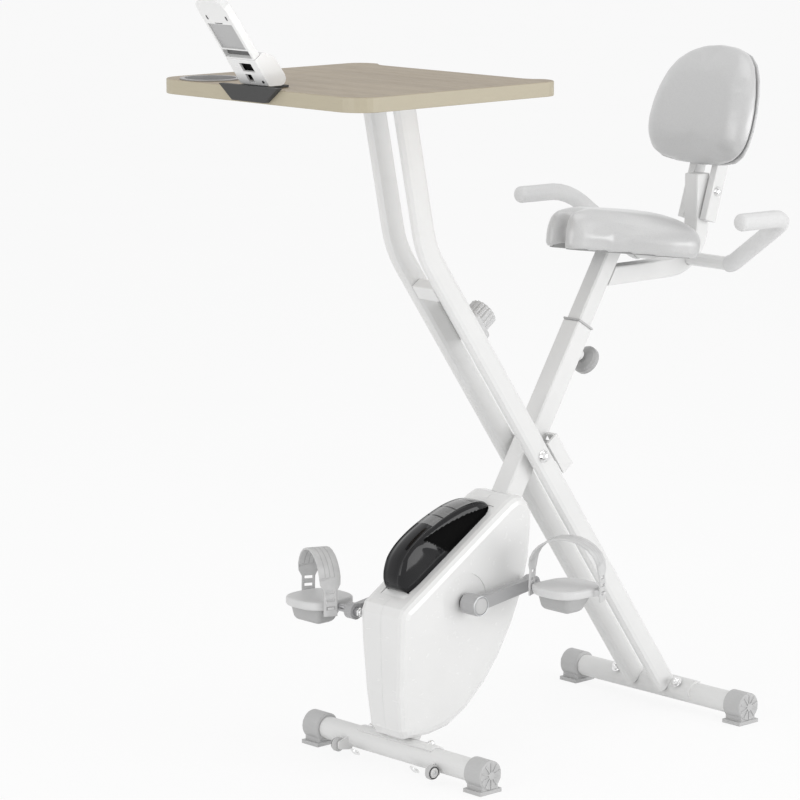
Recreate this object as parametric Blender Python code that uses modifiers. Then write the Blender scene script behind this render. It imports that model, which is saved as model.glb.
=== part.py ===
"""Desk exercise bike: a folding X-frame bike with a sliding desk, a saddle and a backrest.

Metres, +Z up. The rider faces -X, and +Y is the rider's right. The floor is z = 0.
The two frames cross at one pivot bolt, and most sizes are measured from that bolt.
"""

from math import atan2, cos, degrees, hypot, pi, radians, sin, sqrt, tan

import bmesh
import bpy
from mathutils import Matrix, Vector

# Overall layout
PIVOT_X = 0.08175
PIVOT_RISE = 0.436
STAB_AXIS_HEIGHT = 0.029
FRONT_REACH = 0.270
REAR_REACH = 0.317
FOOT_SET_BACK = 0.0106
POST_LEAN = radians(11.6)
BEND_ABOVE_PIVOT = 0.428
BEND_RADIUS = 0.150

# Clearances
GAP = 0.0003
RUN_GAP = 0.0006

# Front frame
SEAT_TUBE = 0.036
SEAT_TUBE_WALL = 0.0015
SEAT_TUBE_TOP = 0.228
POST = 0.030
POST_WALL = 0.002
POST_BELOW_TOP = 0.150
BUSHING_DEPTH = 0.032
BUSHING_LIP = 0.003
STAB_RADIUS = 0.018
STAB_WALL = 0.0015
STAB_HALF = 0.200
CAP_RADIUS = 0.023
CAP_LENGTH = 0.038
CAP_END = 0.006
FOOT_WIDTH = 0.045
FOOT_THICK = 0.006
SADDLE_HALF = 0.085
SADDLE_WALL = 0.003
SADDLE_ARC = radians(140)

# Transport wheels
WHEEL_RADIUS = 0.0115
WHEEL_WIDTH = 0.010
WHEEL_Y = 0.108
WHEEL_AHEAD = 0.032
WHEEL_BELOW = 0.009
WHEEL_PIN = 0.003

# Rear frame
LEG_DEPTH = 0.040
LEG_WIDTH = 0.020
LEG_SPACING = 0.068
LEG_WALL = 0.0016
PIVOT_BOLT_RADIUS = 0.005
DOME_RADIUS = 0.0095
DOME_HEIGHT = 0.008
WASHER_RADIUS = 0.0105
WASHER_THICK = 0.0015
CROSSBAR_AT = 0.350
CROSSBAR_HEIGHT = 0.026
BRIDGE_AT = 0.264
BRIDGE_HEIGHT = 0.082
BRIDGE_THICK = 0.004
TENSION_AT = 0.246
TENSION_BASE = 0.052
TENSION_BASE_THICK = 0.014
TENSION_KNOB_RADIUS = 0.0235
TENSION_KNOB_LENGTH = 0.027
STOP_TOP = 0.008
STOP_BOTTOM = -0.056
STOP_DEPTH = 0.045
STOP_WALL = 0.004
STOP_LEDGE = -0.012
BUMPER_RADIUS = 0.008

# Crank and drive
CRANK_OFFSET = 0.0498
CRANK_BELOW = 0.207
CRANK_RADIUS = 0.122
CRANK_ANGLE = radians(7.5)
CRANK_SHELL_RADIUS = 0.019
CRANK_SHELL_HALF = 0.022
AXLE_RADIUS = 0.008
AXLE_HALF = 0.079
BEARING_RADIUS = 0.014
BEARING_WIDTH = 0.009
HUB_RADIUS = 0.0165
HUB_INNER = 0.0555
HUB_OUTER = 0.087
ARM_HEIGHT = 0.021
ARM_INNER = 0.069
ARM_OUTER = 0.081
ARM_END_RADIUS = 0.013
SPINDLE_RADIUS = 0.006
PULLEY_RADIUS = 0.062
PULLEY_INNER = 0.027
PULLEY_WIDTH = 0.010
BELT_THICK = 0.003
FLYWHEEL_OFFSET = 0.0153
FLYWHEEL_BELOW = 0.316
FLYWHEEL_RADIUS = 0.068
FLYWHEEL_WIDTH = 0.014
FLYWHEEL_INNER = 0.0215
FLYWHEEL_AXLE_RADIUS = 0.006
SMALL_PULLEY_RADIUS = 0.0124
MAGNET_GAP = 0.003
MAGNET_THICK = 0.008
MAGNET_PIN = 0.0025
MAGNET_FROM = 5
MAGNET_TO = 54

# Pedals
PEDAL_LENGTH = 0.098
PEDAL_WIDTH = 0.094
PEDAL_INNER = 0.108
PEDAL_PLATE = 0.014
PEDAL_CORNER = 0.034
PEDAL_BODY_LENGTH = 0.062
PEDAL_BODY_DEPTH = 0.026
STRAP_RISE = 0.086
STRAP_THICK = 0.003
STRAP_WIDTH = 0.022
STRAP_EXTRA = 0.013
STRAP_GAP = 0.0065
PEG_HEIGHT = 0.003
STRAP_SKEW = radians(24)

# Housing
HOUSING_SLOPE = 0.6193
HOUSING_HALF = 0.052
HOUSING_FOOT_HALF = 0.040
HOUSING_WALL = 0.0025
HOUSING_BEVEL = 0.013
DISH_RADIUS = 0.046
DISH_DEPTH = 0.0015
COVER_HALF = 0.028
COVER_WALL = 0.003

# Seat and backrest
SEAT_LENGTH = 0.218
SEAT_HALF_WIDTH = 0.128
SEAT_THICK = 0.052
SEAT_CROWN = 0.008
SEAT_TILT = radians(7)
SEAT_NOSE_X = 0.069
SEAT_NOSE_Z = 0.322
PAN_THICK = 0.008
SUPPORT_DEPTH = 0.030
SUPPORT_RUN_Z = 0.267
SUPPORT_BACK_X = 0.398
SUPPORT_TOP_Z = 0.416
SUPPORT_BEND = 0.070
BOLT_X = 0.413
BOLT_Z = 0.387
RAIL_LEAN = radians(18)
RAIL_BELOW = 0.050
RAIL_ABOVE = 0.190
RAIL_DEPTH = 0.026
RAIL_WIDTH = 0.014
RAIL_INNER = 0.0175
BACK_BOTTOM = 0.039
BACK_HEIGHT = 0.199
BACK_WIDTH = 0.225
BACK_THICK = 0.040
BACK_CURVE = 0.020
BACK_SHELL = 0.006
HANDLE_X = 0.366
HANDLE_Z = 0.279
HANDLE_RADIUS = 0.011
HANDLE_HALF = 0.246
HANDLE_RISE = 0.091
HANDLE_SWEEP = 0.022
HANDLE_FORWARD = 0.134
GRIP_RADIUS = 0.0145
GRIP_START = 0.108
GRIP_TIP = 0.006

# Height knob
KNOB_AT = 0.187
KNOB_RADIUS = 0.0235
KNOB_THICK = 0.020
HOLE_STEP = 0.030
PIN_RADIUS = 0.004
PIN_STROKE = 0.005
SLEEVE_RADIUS = 0.009
SLEEVE_LENGTH = 0.013

# Desk
DESK_TOP_Z = 0.616
DESK_THICK = 0.022
DESK_FRONT = -0.560
DESK_RECESS = -0.160
DESK_HORN = -0.145
DESK_FRONT_HALF = 0.229
DESK_HALF = 0.224
DESK_CORNER = 0.044
DESK_HORN_RADIUS = 0.032
DESK_HORN_WIDTH = 0.040
DESK_EDGE = 0.002
RAIL_SET_BACK = 0.102
CHANNEL_LENGTH = 0.258
CHANNEL_WIDTH = 0.132
CHANNEL_DEPTH = 0.014
CHANNEL_WALL = 0.003
CHANNEL_LIP = 0.014
HEAD_AHEAD = 0.070
HEAD_BEHIND = 0.066
CUP_RADIUS = 0.042
CUP_DEPTH = 0.016
CUP_X = -0.511
CUP_Y = 0.156
CUP_WALL = 0.003

# Console
CONSOLE_LEAN = radians(36)
CONSOLE_WIDTH = 0.064
CONSOLE_HEIGHT = 0.048
CONSOLE_DEPTH = 0.034
CONSOLE_WALL = 0.003
PHONE_HEIGHT = 0.108
PHONE_THICK = 0.013
CONSOLE_FOOT = 0.004
CONSOLE_SET_BACK = 0.004
BASE_DROP = 0.019
BASE_TOP_HALF = 0.066
BASE_BOTTOM_HALF = 0.036
BASE_THICK = 0.010
LENS_WIDTH = 0.034
LENS_HEIGHT = 0.026
BUTTON_WIDTH = 0.014
BUTTON_HEIGHT = 0.009
LENS_UP = 0.010
BUTTON_UP = -0.014

PIVOT_Z = PIVOT_RISE + STAB_AXIS_HEIGHT
SEAT_LEAN = atan2(FRONT_REACH, PIVOT_RISE)
LEG_LEAN = atan2(REAR_REACH - FOOT_SET_BACK, PIVOT_RISE)
CRANK_AHEAD = CRANK_BELOW * tan(SEAT_LEAN) + CRANK_OFFSET
FLYWHEEL_AHEAD = FLYWHEEL_BELOW * tan(SEAT_LEAN) + FLYWHEEL_OFFSET
LEG_INNER = (LEG_SPACING - LEG_WIDTH) / 2
LEG_OUTER = (LEG_SPACING + LEG_WIDTH) / 2

PARTS_NAME = "desk_exercise_bike"
CUTTERS_NAME = "cutters"


# Scene and object helpers
def clear_scene():
    for item in list(bpy.data.objects):
        bpy.data.objects.remove(item, do_unlink=True)


def new_collection(name):
    collection = bpy.data.collections.new(name)
    bpy.context.scene.collection.children.link(collection)
    return collection


def paint(name, colour, roughness=0.5, metallic=0.0):
    """A Principled material, made once and then found by its name."""
    found = bpy.data.materials.get(name)
    if found:
        return found
    material = bpy.data.materials.new(name)
    material.use_nodes = True
    shader = material.node_tree.nodes["Principled BSDF"]
    shader.inputs["Base Color"].default_value = (*colour, 1)
    shader.inputs["Roughness"].default_value = roughness
    shader.inputs["Metallic"].default_value = metallic
    return material


def at(x, y, z):
    """World position of a point given from the pivot bolt."""
    return Vector((PIVOT_X + x, y, PIVOT_Z + z))


def leaning(x, z, lean):
    """Frame at a point whose local Z leans back by an angle and whose local X points to the rear."""
    return Matrix.Translation(at(x, 0, z)) @ Matrix.Rotation(lean, 4, "Y")


def link(name, mesh, material=None, matrix=None, cutter=False):
    item = bpy.data.objects.new(name, mesh)
    home = bpy.data.collections[CUTTERS_NAME if cutter else PARTS_NAME]
    home.objects.link(item)
    if matrix is not None:
        item.matrix_world = matrix
    if material:
        mesh.materials.append(material)
    if cutter:
        item.hide_render = True
        item.display_type = "WIRE"
    return item


def finish(name, mesh, material, matrix=None, angle=35):
    mesh.shade_smooth()
    mesh.set_sharp_from_angle(angle=radians(angle))
    return link(name, mesh, material, matrix)


def to_mesh(name, bm):
    bmesh.ops.recalc_face_normals(bm, faces=bm.faces)
    mesh = bpy.data.meshes.new(name)
    bm.to_mesh(mesh)
    bm.free()
    return mesh


def box(name, size, centre=(0, 0, 0)):
    bm = bmesh.new()
    bmesh.ops.create_cube(bm, size=1)
    bmesh.ops.scale(bm, vec=size, verts=bm.verts)
    bmesh.ops.translate(bm, vec=centre, verts=bm.verts)
    return to_mesh(name, bm)


def cylinder(name, radius, length, centre=(0, 0, 0), axis="Y", segments=24):
    bm = bmesh.new()
    bmesh.ops.create_cone(bm, cap_ends=True, segments=segments, radius1=radius,
                          radius2=radius, depth=length)
    if axis == "Y":
        bmesh.ops.rotate(bm, matrix=Matrix.Rotation(-pi / 2, 3, "X"), verts=bm.verts)
    if axis == "X":
        bmesh.ops.rotate(bm, matrix=Matrix.Rotation(pi / 2, 3, "Y"), verts=bm.verts)
    bmesh.ops.translate(bm, vec=centre, verts=bm.verts)
    return to_mesh(name, bm)


def curve_mesh(name, curve):
    """The evaluated mesh of a curve, with its caps welded on."""
    item = bpy.data.objects.new(name, curve)
    bpy.data.collections[CUTTERS_NAME].objects.link(item)
    bpy.context.view_layer.update()
    seen = item.evaluated_get(bpy.context.evaluated_depsgraph_get())
    mesh = bpy.data.meshes.new_from_object(seen)
    bpy.data.objects.remove(item, do_unlink=True)
    bm = bmesh.new()
    bm.from_mesh(mesh)
    bmesh.ops.remove_doubles(bm, verts=bm.verts, dist=0.00002)
    bpy.data.meshes.remove(mesh)
    return to_mesh(name, bm)


def add_spline(curve, points, cyclic):
    spline = curve.splines.new("POLY")
    spline.points.add(len(points) - 1)
    for slot, point in zip(spline.points, points):
        slot.co = (*point, 1) if len(point) == 3 else (*point, 0, 1)
    spline.use_cyclic_u = cyclic


def plate(name, outline, thickness, holes=()):
    """A flat outline in X and Z, extruded along Y, centred on y = 0."""
    curve = bpy.data.curves.new(name, "CURVE")
    curve.dimensions = "2D"
    curve.fill_mode = "BOTH"
    curve.extrude = thickness / 2
    for loop in (outline, *holes):
        add_spline(curve, loop, True)
    mesh = curve_mesh(name, curve)
    mesh.transform(Matrix.Rotation(pi / 2, 4, "X"))
    return mesh


def slab(name, outline, thickness, holes=()):
    """A flat outline in X and Y, extruded along Z, centred on z = 0."""
    mesh = plate(name, outline, thickness, holes)
    mesh.transform(Matrix.Rotation(-pi / 2, 4, "X"))
    return mesh


def facing_x(mesh):
    """Turns a plate so that its thickness runs along X and its width along Y."""
    mesh.transform(Matrix.Rotation(pi / 2, 4, "Z"))
    return mesh


def rod(name, path, radius, resolution=3):
    """A round bar along a path of points, with filled ends."""
    curve = bpy.data.curves.new(name, "CURVE")
    curve.dimensions = "3D"
    curve.bevel_depth = radius
    curve.bevel_resolution = resolution
    curve.use_fill_caps = True
    add_spline(curve, path, False)
    return curve_mesh(name, curve)


def section_along(name, section, path):
    """A flat section swept along a path in the XZ plane, with filled ends."""
    guide = bpy.data.curves.new(name + "_section", "CURVE")
    guide.dimensions = "2D"
    add_spline(guide, section, True)
    carrier = bpy.data.objects.new(name + "_section", guide)
    bpy.data.collections[CUTTERS_NAME].objects.link(carrier)
    curve = bpy.data.curves.new(name, "CURVE")
    curve.dimensions = "3D"
    curve.bevel_mode = "OBJECT"
    curve.bevel_object = carrier
    curve.use_fill_caps = True
    add_spline(curve, [tuple(p) for p in path], False)
    mesh = curve_mesh(name, curve)
    bpy.data.objects.remove(carrier, do_unlink=True)
    return mesh


def turned(name, profile, segments=24):
    """A profile of radius and height, from top to bottom, turned about Z with a Screw modifier."""
    bm = bmesh.new()
    points = [bm.verts.new((radius, 0, height)) for radius, height in profile]
    for first, second in zip(points, points[1:]):
        bm.edges.new((first, second))
    mesh = bpy.data.meshes.new(name)
    bm.to_mesh(mesh)
    bm.free()
    item = link(name + "_profile", mesh, cutter=True)
    screw = item.modifiers.new("turn", "SCREW")
    screw.steps = segments
    screw.render_steps = segments
    screw.use_merge_vertices = True
    screw.merge_threshold = 0.00005
    bpy.context.view_layer.update()
    seen = item.evaluated_get(bpy.context.evaluated_depsgraph_get())
    spun = bpy.data.meshes.new_from_object(seen)
    bpy.data.objects.remove(item, do_unlink=True)
    bm = bmesh.new()
    bm.from_mesh(spun)
    bmesh.ops.remove_doubles(bm, verts=bm.verts, dist=0.00005)
    bpy.data.meshes.remove(spun)
    return to_mesh(name, bm)


def combine(target, operation, *meshes, matrix=None):
    """Joins meshes to an object, or cuts them from it, with exact Booleans kept on the object."""
    for mesh in meshes:
        tool = link(f"{target.name}_{operation.lower()}_{len(target.modifiers)}", mesh, cutter=True,
                    matrix=matrix if matrix is not None else target.matrix_world.copy())
        step = target.modifiers.new(operation.lower(), "BOOLEAN")
        step.operation = operation
        step.solver = "EXACT"
        step.object = tool
    return target


def bevelled(item, width, segments=2, angle=30):
    step = item.modifiers.new("bevel", "BEVEL")
    step.width = width
    step.segments = segments
    step.limit_method = "ANGLE"
    step.angle_limit = radians(angle)
    step.use_clamp_overlap = True
    return item


def joint_empty(name, position):
    empty = bpy.data.objects.new(name, None)
    empty.empty_display_size = 0.03
    empty.location = position
    bpy.data.collections[PARTS_NAME].objects.link(empty)
    bpy.context.view_layer.update()
    return empty


def ride(empty, *items):
    """Parents objects to a joint's empty without moving them."""
    bpy.context.view_layer.update()
    for item in items:
        item.parent = empty
        item.matrix_parent_inverse = empty.matrix_world.inverted()


# Outline helpers
def arc(centre, radius, start, end, steps):
    """Points on an arc, angles in degrees from +X towards the second axis."""
    return [(centre[0] + radius * cos(radians(start + (end - start) * i / steps)),
             centre[1] + radius * sin(radians(start + (end - start) * i / steps))) for i in range(steps + 1)]


def rounded(points, radii, steps=4):
    """A closed outline with each corner turned into an arc of its own radius."""
    if isinstance(radii, (int, float)):
        radii = [radii] * len(points)
    out = []
    for i, (point, radius) in enumerate(zip(points, radii)):
        here = Vector(point)
        before = (Vector(points[i - 1]) - here).normalized()
        after = (Vector(points[(i + 1) % len(points)]) - here).normalized()
        if radius <= 0:
            out.append(tuple(here))
            continue
        half = before.angle(after) / 2
        reach = radius / sin(half) * cos(half)
        centre = here + (before + after).normalized() * (radius / sin(half))
        first = here + before * reach - centre
        last = here + after * reach - centre
        start = atan2(first.y, first.x)
        sweep = (atan2(last.y, last.x) - start + pi) % (2 * pi) - pi
        out += [(centre.x + radius * cos(start + sweep * k / steps),
                 centre.y + radius * sin(start + sweep * k / steps)) for k in range(steps + 1)]
    return out


def offset(points, distance):
    """A closed counter-clockwise outline moved inwards by a distance."""
    out = []
    count = len(points)
    for i in range(count):
        here = Vector(points[i])
        before = (here - Vector(points[i - 1])).normalized()
        after = (Vector(points[(i + 1) % count]) - here).normalized()
        mitre = (Vector((-before.y, before.x)) + Vector((-after.y, after.x))).normalized()
        scale = max(0.5, mitre.dot(Vector((-before.y, before.x))))
        out.append(tuple(here + mitre * (distance / scale)))
    return out


def rectangle(width, height, radius=0.0, centre=(0, 0), steps=3):
    x, y = centre
    corners = [(x - width / 2, y - height / 2), (x + width / 2, y - height / 2),
               (x + width / 2, y + height / 2), (x - width / 2, y + height / 2)]
    return rounded(corners, radius, steps) if radius else corners


def oval(width, depth, steps=5):
    """A flat oval: two straight sides and two round ends of the full width."""
    reach = (depth - width) / 2
    return arc((0, reach), width / 2, 0, 180, steps) + arc((0, -reach), width / 2, 180, 360, steps)


def smooth_path(points, radii, steps=5):
    """Points along a path in space whose corners are arcs of the given radii."""
    points = [Vector(p) for p in points]
    out = [points[0]]
    for before, here, after, radius in zip(points, points[1:], points[2:], radii):
        back = (before - here).normalized()
        ahead = (after - here).normalized()
        half = back.angle(ahead) / 2
        reach = radius / sin(half) * cos(half)
        centre = here + (back + ahead).normalized() * (radius / sin(half))
        first = here + back * reach - centre
        last = here + ahead * reach - centre
        turn = first.angle(last)
        for k in range(steps + 1):
            share = k / steps
            mix = first * sin((1 - share) * turn) + last * sin(share * turn)
            out.append(centre + mix / sin(turn))
    out.append(points[-1])
    return out


# Front frame
def front_tube():
    """The main tube from the stabiliser up to the seat post, with all that is welded to it."""
    frame = leaning(0, 0, SEAT_LEAN)
    stab_at = -hypot(FRONT_REACH, PIVOT_RISE)
    bottom = stab_at + STAB_RADIUS / 2
    length = SEAT_TUBE_TOP - bottom
    mesh = box("seat_tube", (SEAT_TUBE, SEAT_TUBE, length), (0, 0, bottom + length / 2))
    tube = finish("seat_tube", mesh, paint("white_enamel", (0.86, 0.86, 0.85), 0.35), frame)
    bevelled(tube, 0.002, 1)
    coped = STAB_RADIUS + GAP + SADDLE_WALL / 2
    combine(tube, "DIFFERENCE", cylinder("cope", coped, 0.06, (0, 0, stab_at), segments=32))
    combine(tube, "UNION", saddle_mesh("front_saddle", stab_at), crank_shell_mesh(), flywheel_boss_mesh(),
            cylinder("pin_sleeve", SLEEVE_RADIUS, SLEEVE_LENGTH + 0.001,
                     (SEAT_TUBE / 2 + SLEEVE_LENGTH / 2 - 0.0005, 0, KNOB_AT), "X", 24))
    inside = SEAT_TUBE - 2 * SEAT_TUBE_WALL
    hollow_bottom = stab_at + STAB_RADIUS + 0.014
    combine(tube, "DIFFERENCE", box("hollow", (inside, inside, SEAT_TUBE_TOP - hollow_bottom + 0.01),
                                    (0, 0, (SEAT_TUBE_TOP + hollow_bottom) / 2 + 0.005)))
    hinge = magnet_hinge()
    hinge_at = in_seat_frame(hinge.x, hinge.y)
    pin_start = inside / 2 + 0.0002
    pin_end = FLYWHEEL_INNER + FLYWHEEL_WIDTH + 0.003
    combine(tube, "UNION",
            cylinder("pivot_sleeve", PIVOT_BOLT_RADIUS + 0.004, 2 * (LEG_INNER - RUN_GAP), (0, 0, 0), "Y", 20),
            cylinder("flywheel_sleeve", FLYWHEEL_AXLE_RADIUS + 0.004, inside + 0.001, flywheel_place(), "Y", 20),
            cylinder("magnet_pin", MAGNET_PIN, pin_end - pin_start,
                     (hinge_at.x, (pin_end + pin_start) / 2, hinge_at.z), "Y", 16))
    crank = crank_place()
    combine(tube, "DIFFERENCE",
            cylinder("pivot_bore", PIVOT_BOLT_RADIUS + GAP, 0.06, (0, 0, 0), "Y", 24),
            cylinder("axle_bore", AXLE_RADIUS + 0.002, 0.09, crank, "Y", 24),
            cylinder("bearing_seat_left", BEARING_RADIUS + GAP, BEARING_WIDTH + GAP,
                     (crank.x, -CRANK_SHELL_HALF + (BEARING_WIDTH - GAP) / 2, crank.z), "Y", 32),
            cylinder("bearing_seat_right", BEARING_RADIUS + GAP, BEARING_WIDTH + GAP,
                     (crank.x, CRANK_SHELL_HALF - (BEARING_WIDTH - GAP) / 2, crank.z), "Y", 32),
            cylinder("flywheel_bore", FLYWHEEL_AXLE_RADIUS + GAP, 0.09, flywheel_place(), "Y", 24),
            cylinder("pin_bore", PIN_RADIUS + GAP, 0.06, (SEAT_TUBE / 2 + 0.01, 0, KNOB_AT), "X", 16))
    return tube


def in_seat_frame(x, z):
    """A point given from the pivot, in the leaning frame of the main tube."""
    return Vector((x * cos(SEAT_LEAN) - z * sin(SEAT_LEAN), 0, x * sin(SEAT_LEAN) + z * cos(SEAT_LEAN)))


def crank_place():
    return in_seat_frame(-CRANK_AHEAD, -CRANK_BELOW)


def flywheel_place():
    return in_seat_frame(-FLYWHEEL_AHEAD, -FLYWHEEL_BELOW)


def saddle_mesh(name, stab_at):
    """A curved plate that hugs the upper half of a stabiliser."""
    inner = STAB_RADIUS + GAP
    outer = inner + SADDLE_WALL
    spread = SADDLE_ARC / pi * 90
    outline = (arc((0, stab_at), outer, 90 - spread, 90 + spread, 16)
               + arc((0, stab_at), inner, 90 + spread, 90 - spread, 16))
    return plate(name, outline, 2 * SADDLE_HALF)


def crank_shell_mesh():
    centre = crank_place()
    edge = -SEAT_TUBE / 2 + SEAT_TUBE_WALL / 2
    reach = CRANK_SHELL_RADIUS - 0.001
    outline = [(centre.x, centre.z - reach), (edge, centre.z - reach - 0.014), (edge, centre.z + reach + 0.014),
               (centre.x, centre.z + reach)]
    web = plate("crank_web", outline, SEAT_TUBE - 0.008)
    shell = cylinder("crank_shell", CRANK_SHELL_RADIUS, 2 * CRANK_SHELL_HALF, centre, "Y", 32)
    return joined("crank_shell", shell, web)


def flywheel_boss_mesh():
    centre = flywheel_place()
    return cylinder("flywheel_boss", FLYWHEEL_AXLE_RADIUS + 0.005, SEAT_TUBE + 0.003, centre, "Y", 24)


def joined(name, first, second, operation="UNION"):
    """One mesh from the union or the difference of two."""
    body = link(name + "_first", first, cutter=True)
    tool = link(name + "_second", second, cutter=True)
    step = body.modifiers.new("join", "BOOLEAN")
    step.operation = operation
    step.solver = "EXACT"
    step.object = tool
    bpy.context.view_layer.update()
    seen = body.evaluated_get(bpy.context.evaluated_depsgraph_get())
    result = bpy.data.meshes.new_from_object(seen)
    bpy.data.objects.remove(body, do_unlink=True)
    bpy.data.objects.remove(tool, do_unlink=True)
    return result


def stabilizer(name, x):
    """A round cross tube near the floor, open at both ends."""
    place = Matrix.Translation(at(x, 0, -PIVOT_RISE))
    mesh = cylinder(name, STAB_RADIUS, 2 * STAB_HALF, segments=28)
    tube = finish(name, mesh, paint("white_enamel", (0.86, 0.86, 0.85)), place)
    return tube


def open_tube(tube):
    return combine(tube, "DIFFERENCE", cylinder("hollow", STAB_RADIUS - STAB_WALL, 2 * STAB_HALF + 0.01, segments=28))


def end_cap(name, x, side):
    """A plastic cap over one end of a stabiliser, with a flat foot under it."""
    place = Matrix.Translation(at(x, 0, -PIVOT_RISE))
    outer = STAB_HALF + CAP_END
    middle = side * (outer - CAP_LENGTH / 2)
    material = paint("cap_grey", (0.33, 0.34, 0.34), 0.6)
    cap = finish(name, cylinder(name, CAP_RADIUS, CAP_LENGTH, (0, middle, 0), segments=28), material, place)
    bevelled(cap, 0.002, 1, 60)
    foot_top = -STAB_AXIS_HEIGHT + FOOT_THICK
    foot = box("foot", (FOOT_WIDTH, CAP_LENGTH, FOOT_THICK), (0, middle, foot_top - FOOT_THICK / 2))
    neck_height = STAB_AXIS_HEIGHT - FOOT_THICK / 2 - 0.010
    neck = box("neck", (FOOT_WIDTH * 0.72, CAP_LENGTH - 0.004, neck_height),
               (0, middle, foot_top - FOOT_THICK / 2 + neck_height / 2))
    combine(cap, "UNION", foot, neck)
    depth = CAP_LENGTH - CAP_END
    socket = cylinder("socket", STAB_RADIUS + GAP, depth + GAP, (0, side * (STAB_HALF + GAP - (depth + GAP) / 2), 0),
                      segments=28)
    combine(cap, "DIFFERENCE", socket)
    combine(cap, "UNION", cap_ribs(side * outer))
    return cap


def cap_ribs(face):
    """A hub and radial ribs on the end face of a cap, as one mesh."""
    bm = bmesh.new()
    thick = 0.003
    ribs = 10
    points = []
    for i in range(ribs):
        for radius, shift in ((0.006, 0.25), (CAP_RADIUS - 0.003, 0.42), (CAP_RADIUS - 0.003, 0.58), (0.006, 0.75)):
            angle = 2 * pi * (i + shift) / ribs
            points.append(bm.verts.new((radius * cos(angle), face - thick / 2, radius * sin(angle))))
    face_bottom = bm.faces.new(points)
    grown = bmesh.ops.extrude_face_region(bm, geom=[face_bottom])
    moved = [v for v in grown["geom"] if isinstance(v, bmesh.types.BMVert)]
    bmesh.ops.translate(bm, vec=(0, thick, 0), verts=moved)
    return to_mesh("cap_ribs", bm)


def transport_wheel(name, side):
    centre = at(-FRONT_REACH - WHEEL_AHEAD, side * WHEEL_Y, -PIVOT_RISE - WHEEL_BELOW)
    material = paint("wheel_grey", (0.5, 0.5, 0.5), 0.5)
    half = WHEEL_WIDTH / 2
    profile = [(WHEEL_PIN + GAP, half), (WHEEL_RADIUS - 0.002, half), (WHEEL_RADIUS, half - 0.002),
               (WHEEL_RADIUS, -half + 0.002), (WHEEL_RADIUS - 0.002, -half), (WHEEL_PIN + GAP, -half),
               (WHEEL_PIN + GAP, half)]
    mesh = turned(name, profile, 20)
    matrix = Matrix.Translation(centre) @ Matrix.Rotation(pi / 2, 4, "X")
    wheel = finish(name, mesh, material, matrix)
    ride(joint_empty(name + "_axis", centre), wheel)
    return wheel


def add_wheel_carriers(tube):
    """A welded tab and a headed pin for each transport wheel."""
    for side in (-1, 1):
        inner = side * (WHEEL_Y - WHEEL_WIDTH / 2 - RUN_GAP)
        outline = rounded([(-WHEEL_AHEAD - 0.006, -WHEEL_BELOW - 0.006), (-0.010, -0.020), (-0.006, 0.006),
                           (-WHEEL_AHEAD - 0.006, -WHEEL_BELOW + 0.006)], 0.0035, 3)
        tab = plate("wheel_tab", outline, 0.003)
        tab.transform(Matrix.Translation((0, inner - side * 0.0015, 0)))
        pin_length = WHEEL_WIDTH + 2 * RUN_GAP + 0.003
        pin = cylinder("wheel_pin", WHEEL_PIN, pin_length,
                       (-WHEEL_AHEAD, inner + side * (pin_length / 2 - 0.0015), -WHEEL_BELOW), segments=16)
        head = cylinder("wheel_pin_head", WHEEL_PIN + 0.002, 0.002,
                        (-WHEEL_AHEAD, inner + side * (WHEEL_WIDTH + 2 * RUN_GAP + 0.001), -WHEEL_BELOW), segments=16)
        combine(tube, "UNION", tab, pin, head)


def post_bushing():
    """A thin plastic liner between the main tube and the seat post, with a lip on top."""
    frame = leaning(0, 0, SEAT_LEAN)
    inside = SEAT_TUBE - 2 * SEAT_TUBE_WALL - 2 * GAP
    top = SEAT_TUBE_TOP + GAP + BUSHING_LIP / 2
    mesh = box("post_bushing", (inside, inside, BUSHING_DEPTH), (0, 0, top - BUSHING_DEPTH / 2))
    sleeve = finish("post_bushing", mesh, paint("black_plastic", (0.02, 0.02, 0.02), 0.5), frame)
    lip = box("lip", (SEAT_TUBE, SEAT_TUBE, BUSHING_LIP), (0, 0, SEAT_TUBE_TOP + GAP + BUSHING_LIP / 2))
    combine(sleeve, "UNION", lip)
    combine(sleeve, "DIFFERENCE", box("bore", (POST + 2 * GAP, POST + 2 * GAP, 0.2), (0, 0, SEAT_TUBE_TOP)))
    return sleeve


def height_knob():
    """The pull knob with its pin, drawn back by its stroke so that the post is free to slide."""
    frame = leaning(0, 0, SEAT_LEAN) @ Matrix.Translation((0, 0, KNOB_AT)) @ Matrix.Rotation(pi / 2, 4, "Y")
    tip = POST / 2 + RUN_GAP
    sleeve_end = SEAT_TUBE / 2 + SLEEVE_LENGTH
    start = sleeve_end + PIN_STROKE + 0.001
    end = start + KNOB_THICK
    profile = [(0, end), (KNOB_RADIUS - 0.006, end), (KNOB_RADIUS, end - 0.005), (KNOB_RADIUS, start + 0.008),
               (KNOB_RADIUS - 0.004, start + 0.004), (0.009, start), (PIN_RADIUS, start), (PIN_RADIUS, tip), (0, tip)]
    mesh = turned("height_knob", profile, 24)
    knob = finish("height_knob", mesh, paint("height_knob_grey", (0.34, 0.34, 0.34), 0.35), frame)
    ride(joint_empty("height_pin_axis", frame.translation), knob)
    return knob


# Housing
def housing_outline():
    """The side profile of the housing, from the pivot bolt, counter-clockwise seen from the left."""
    points = [(-0.303, -0.2005), (-0.309, -0.214), (-0.309, -0.260), (-0.306, -0.340), (-0.299, -0.398),
            (-0.290, -0.411), (-0.240, -0.4125), (-0.200, -0.406), (-0.160, -0.384), (-0.122, -0.349),
            (-0.092, -0.308), (-0.067, -0.258), (-0.046, -0.205), (-0.034, -0.158), (-0.029, -0.112),
            (-0.028, -0.086), (-0.036, -0.068), (-0.049, -0.057), (-0.064, -0.055), (-0.081, -0.0615)]
    return [with_tube(x, z) for x, z in points]


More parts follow.
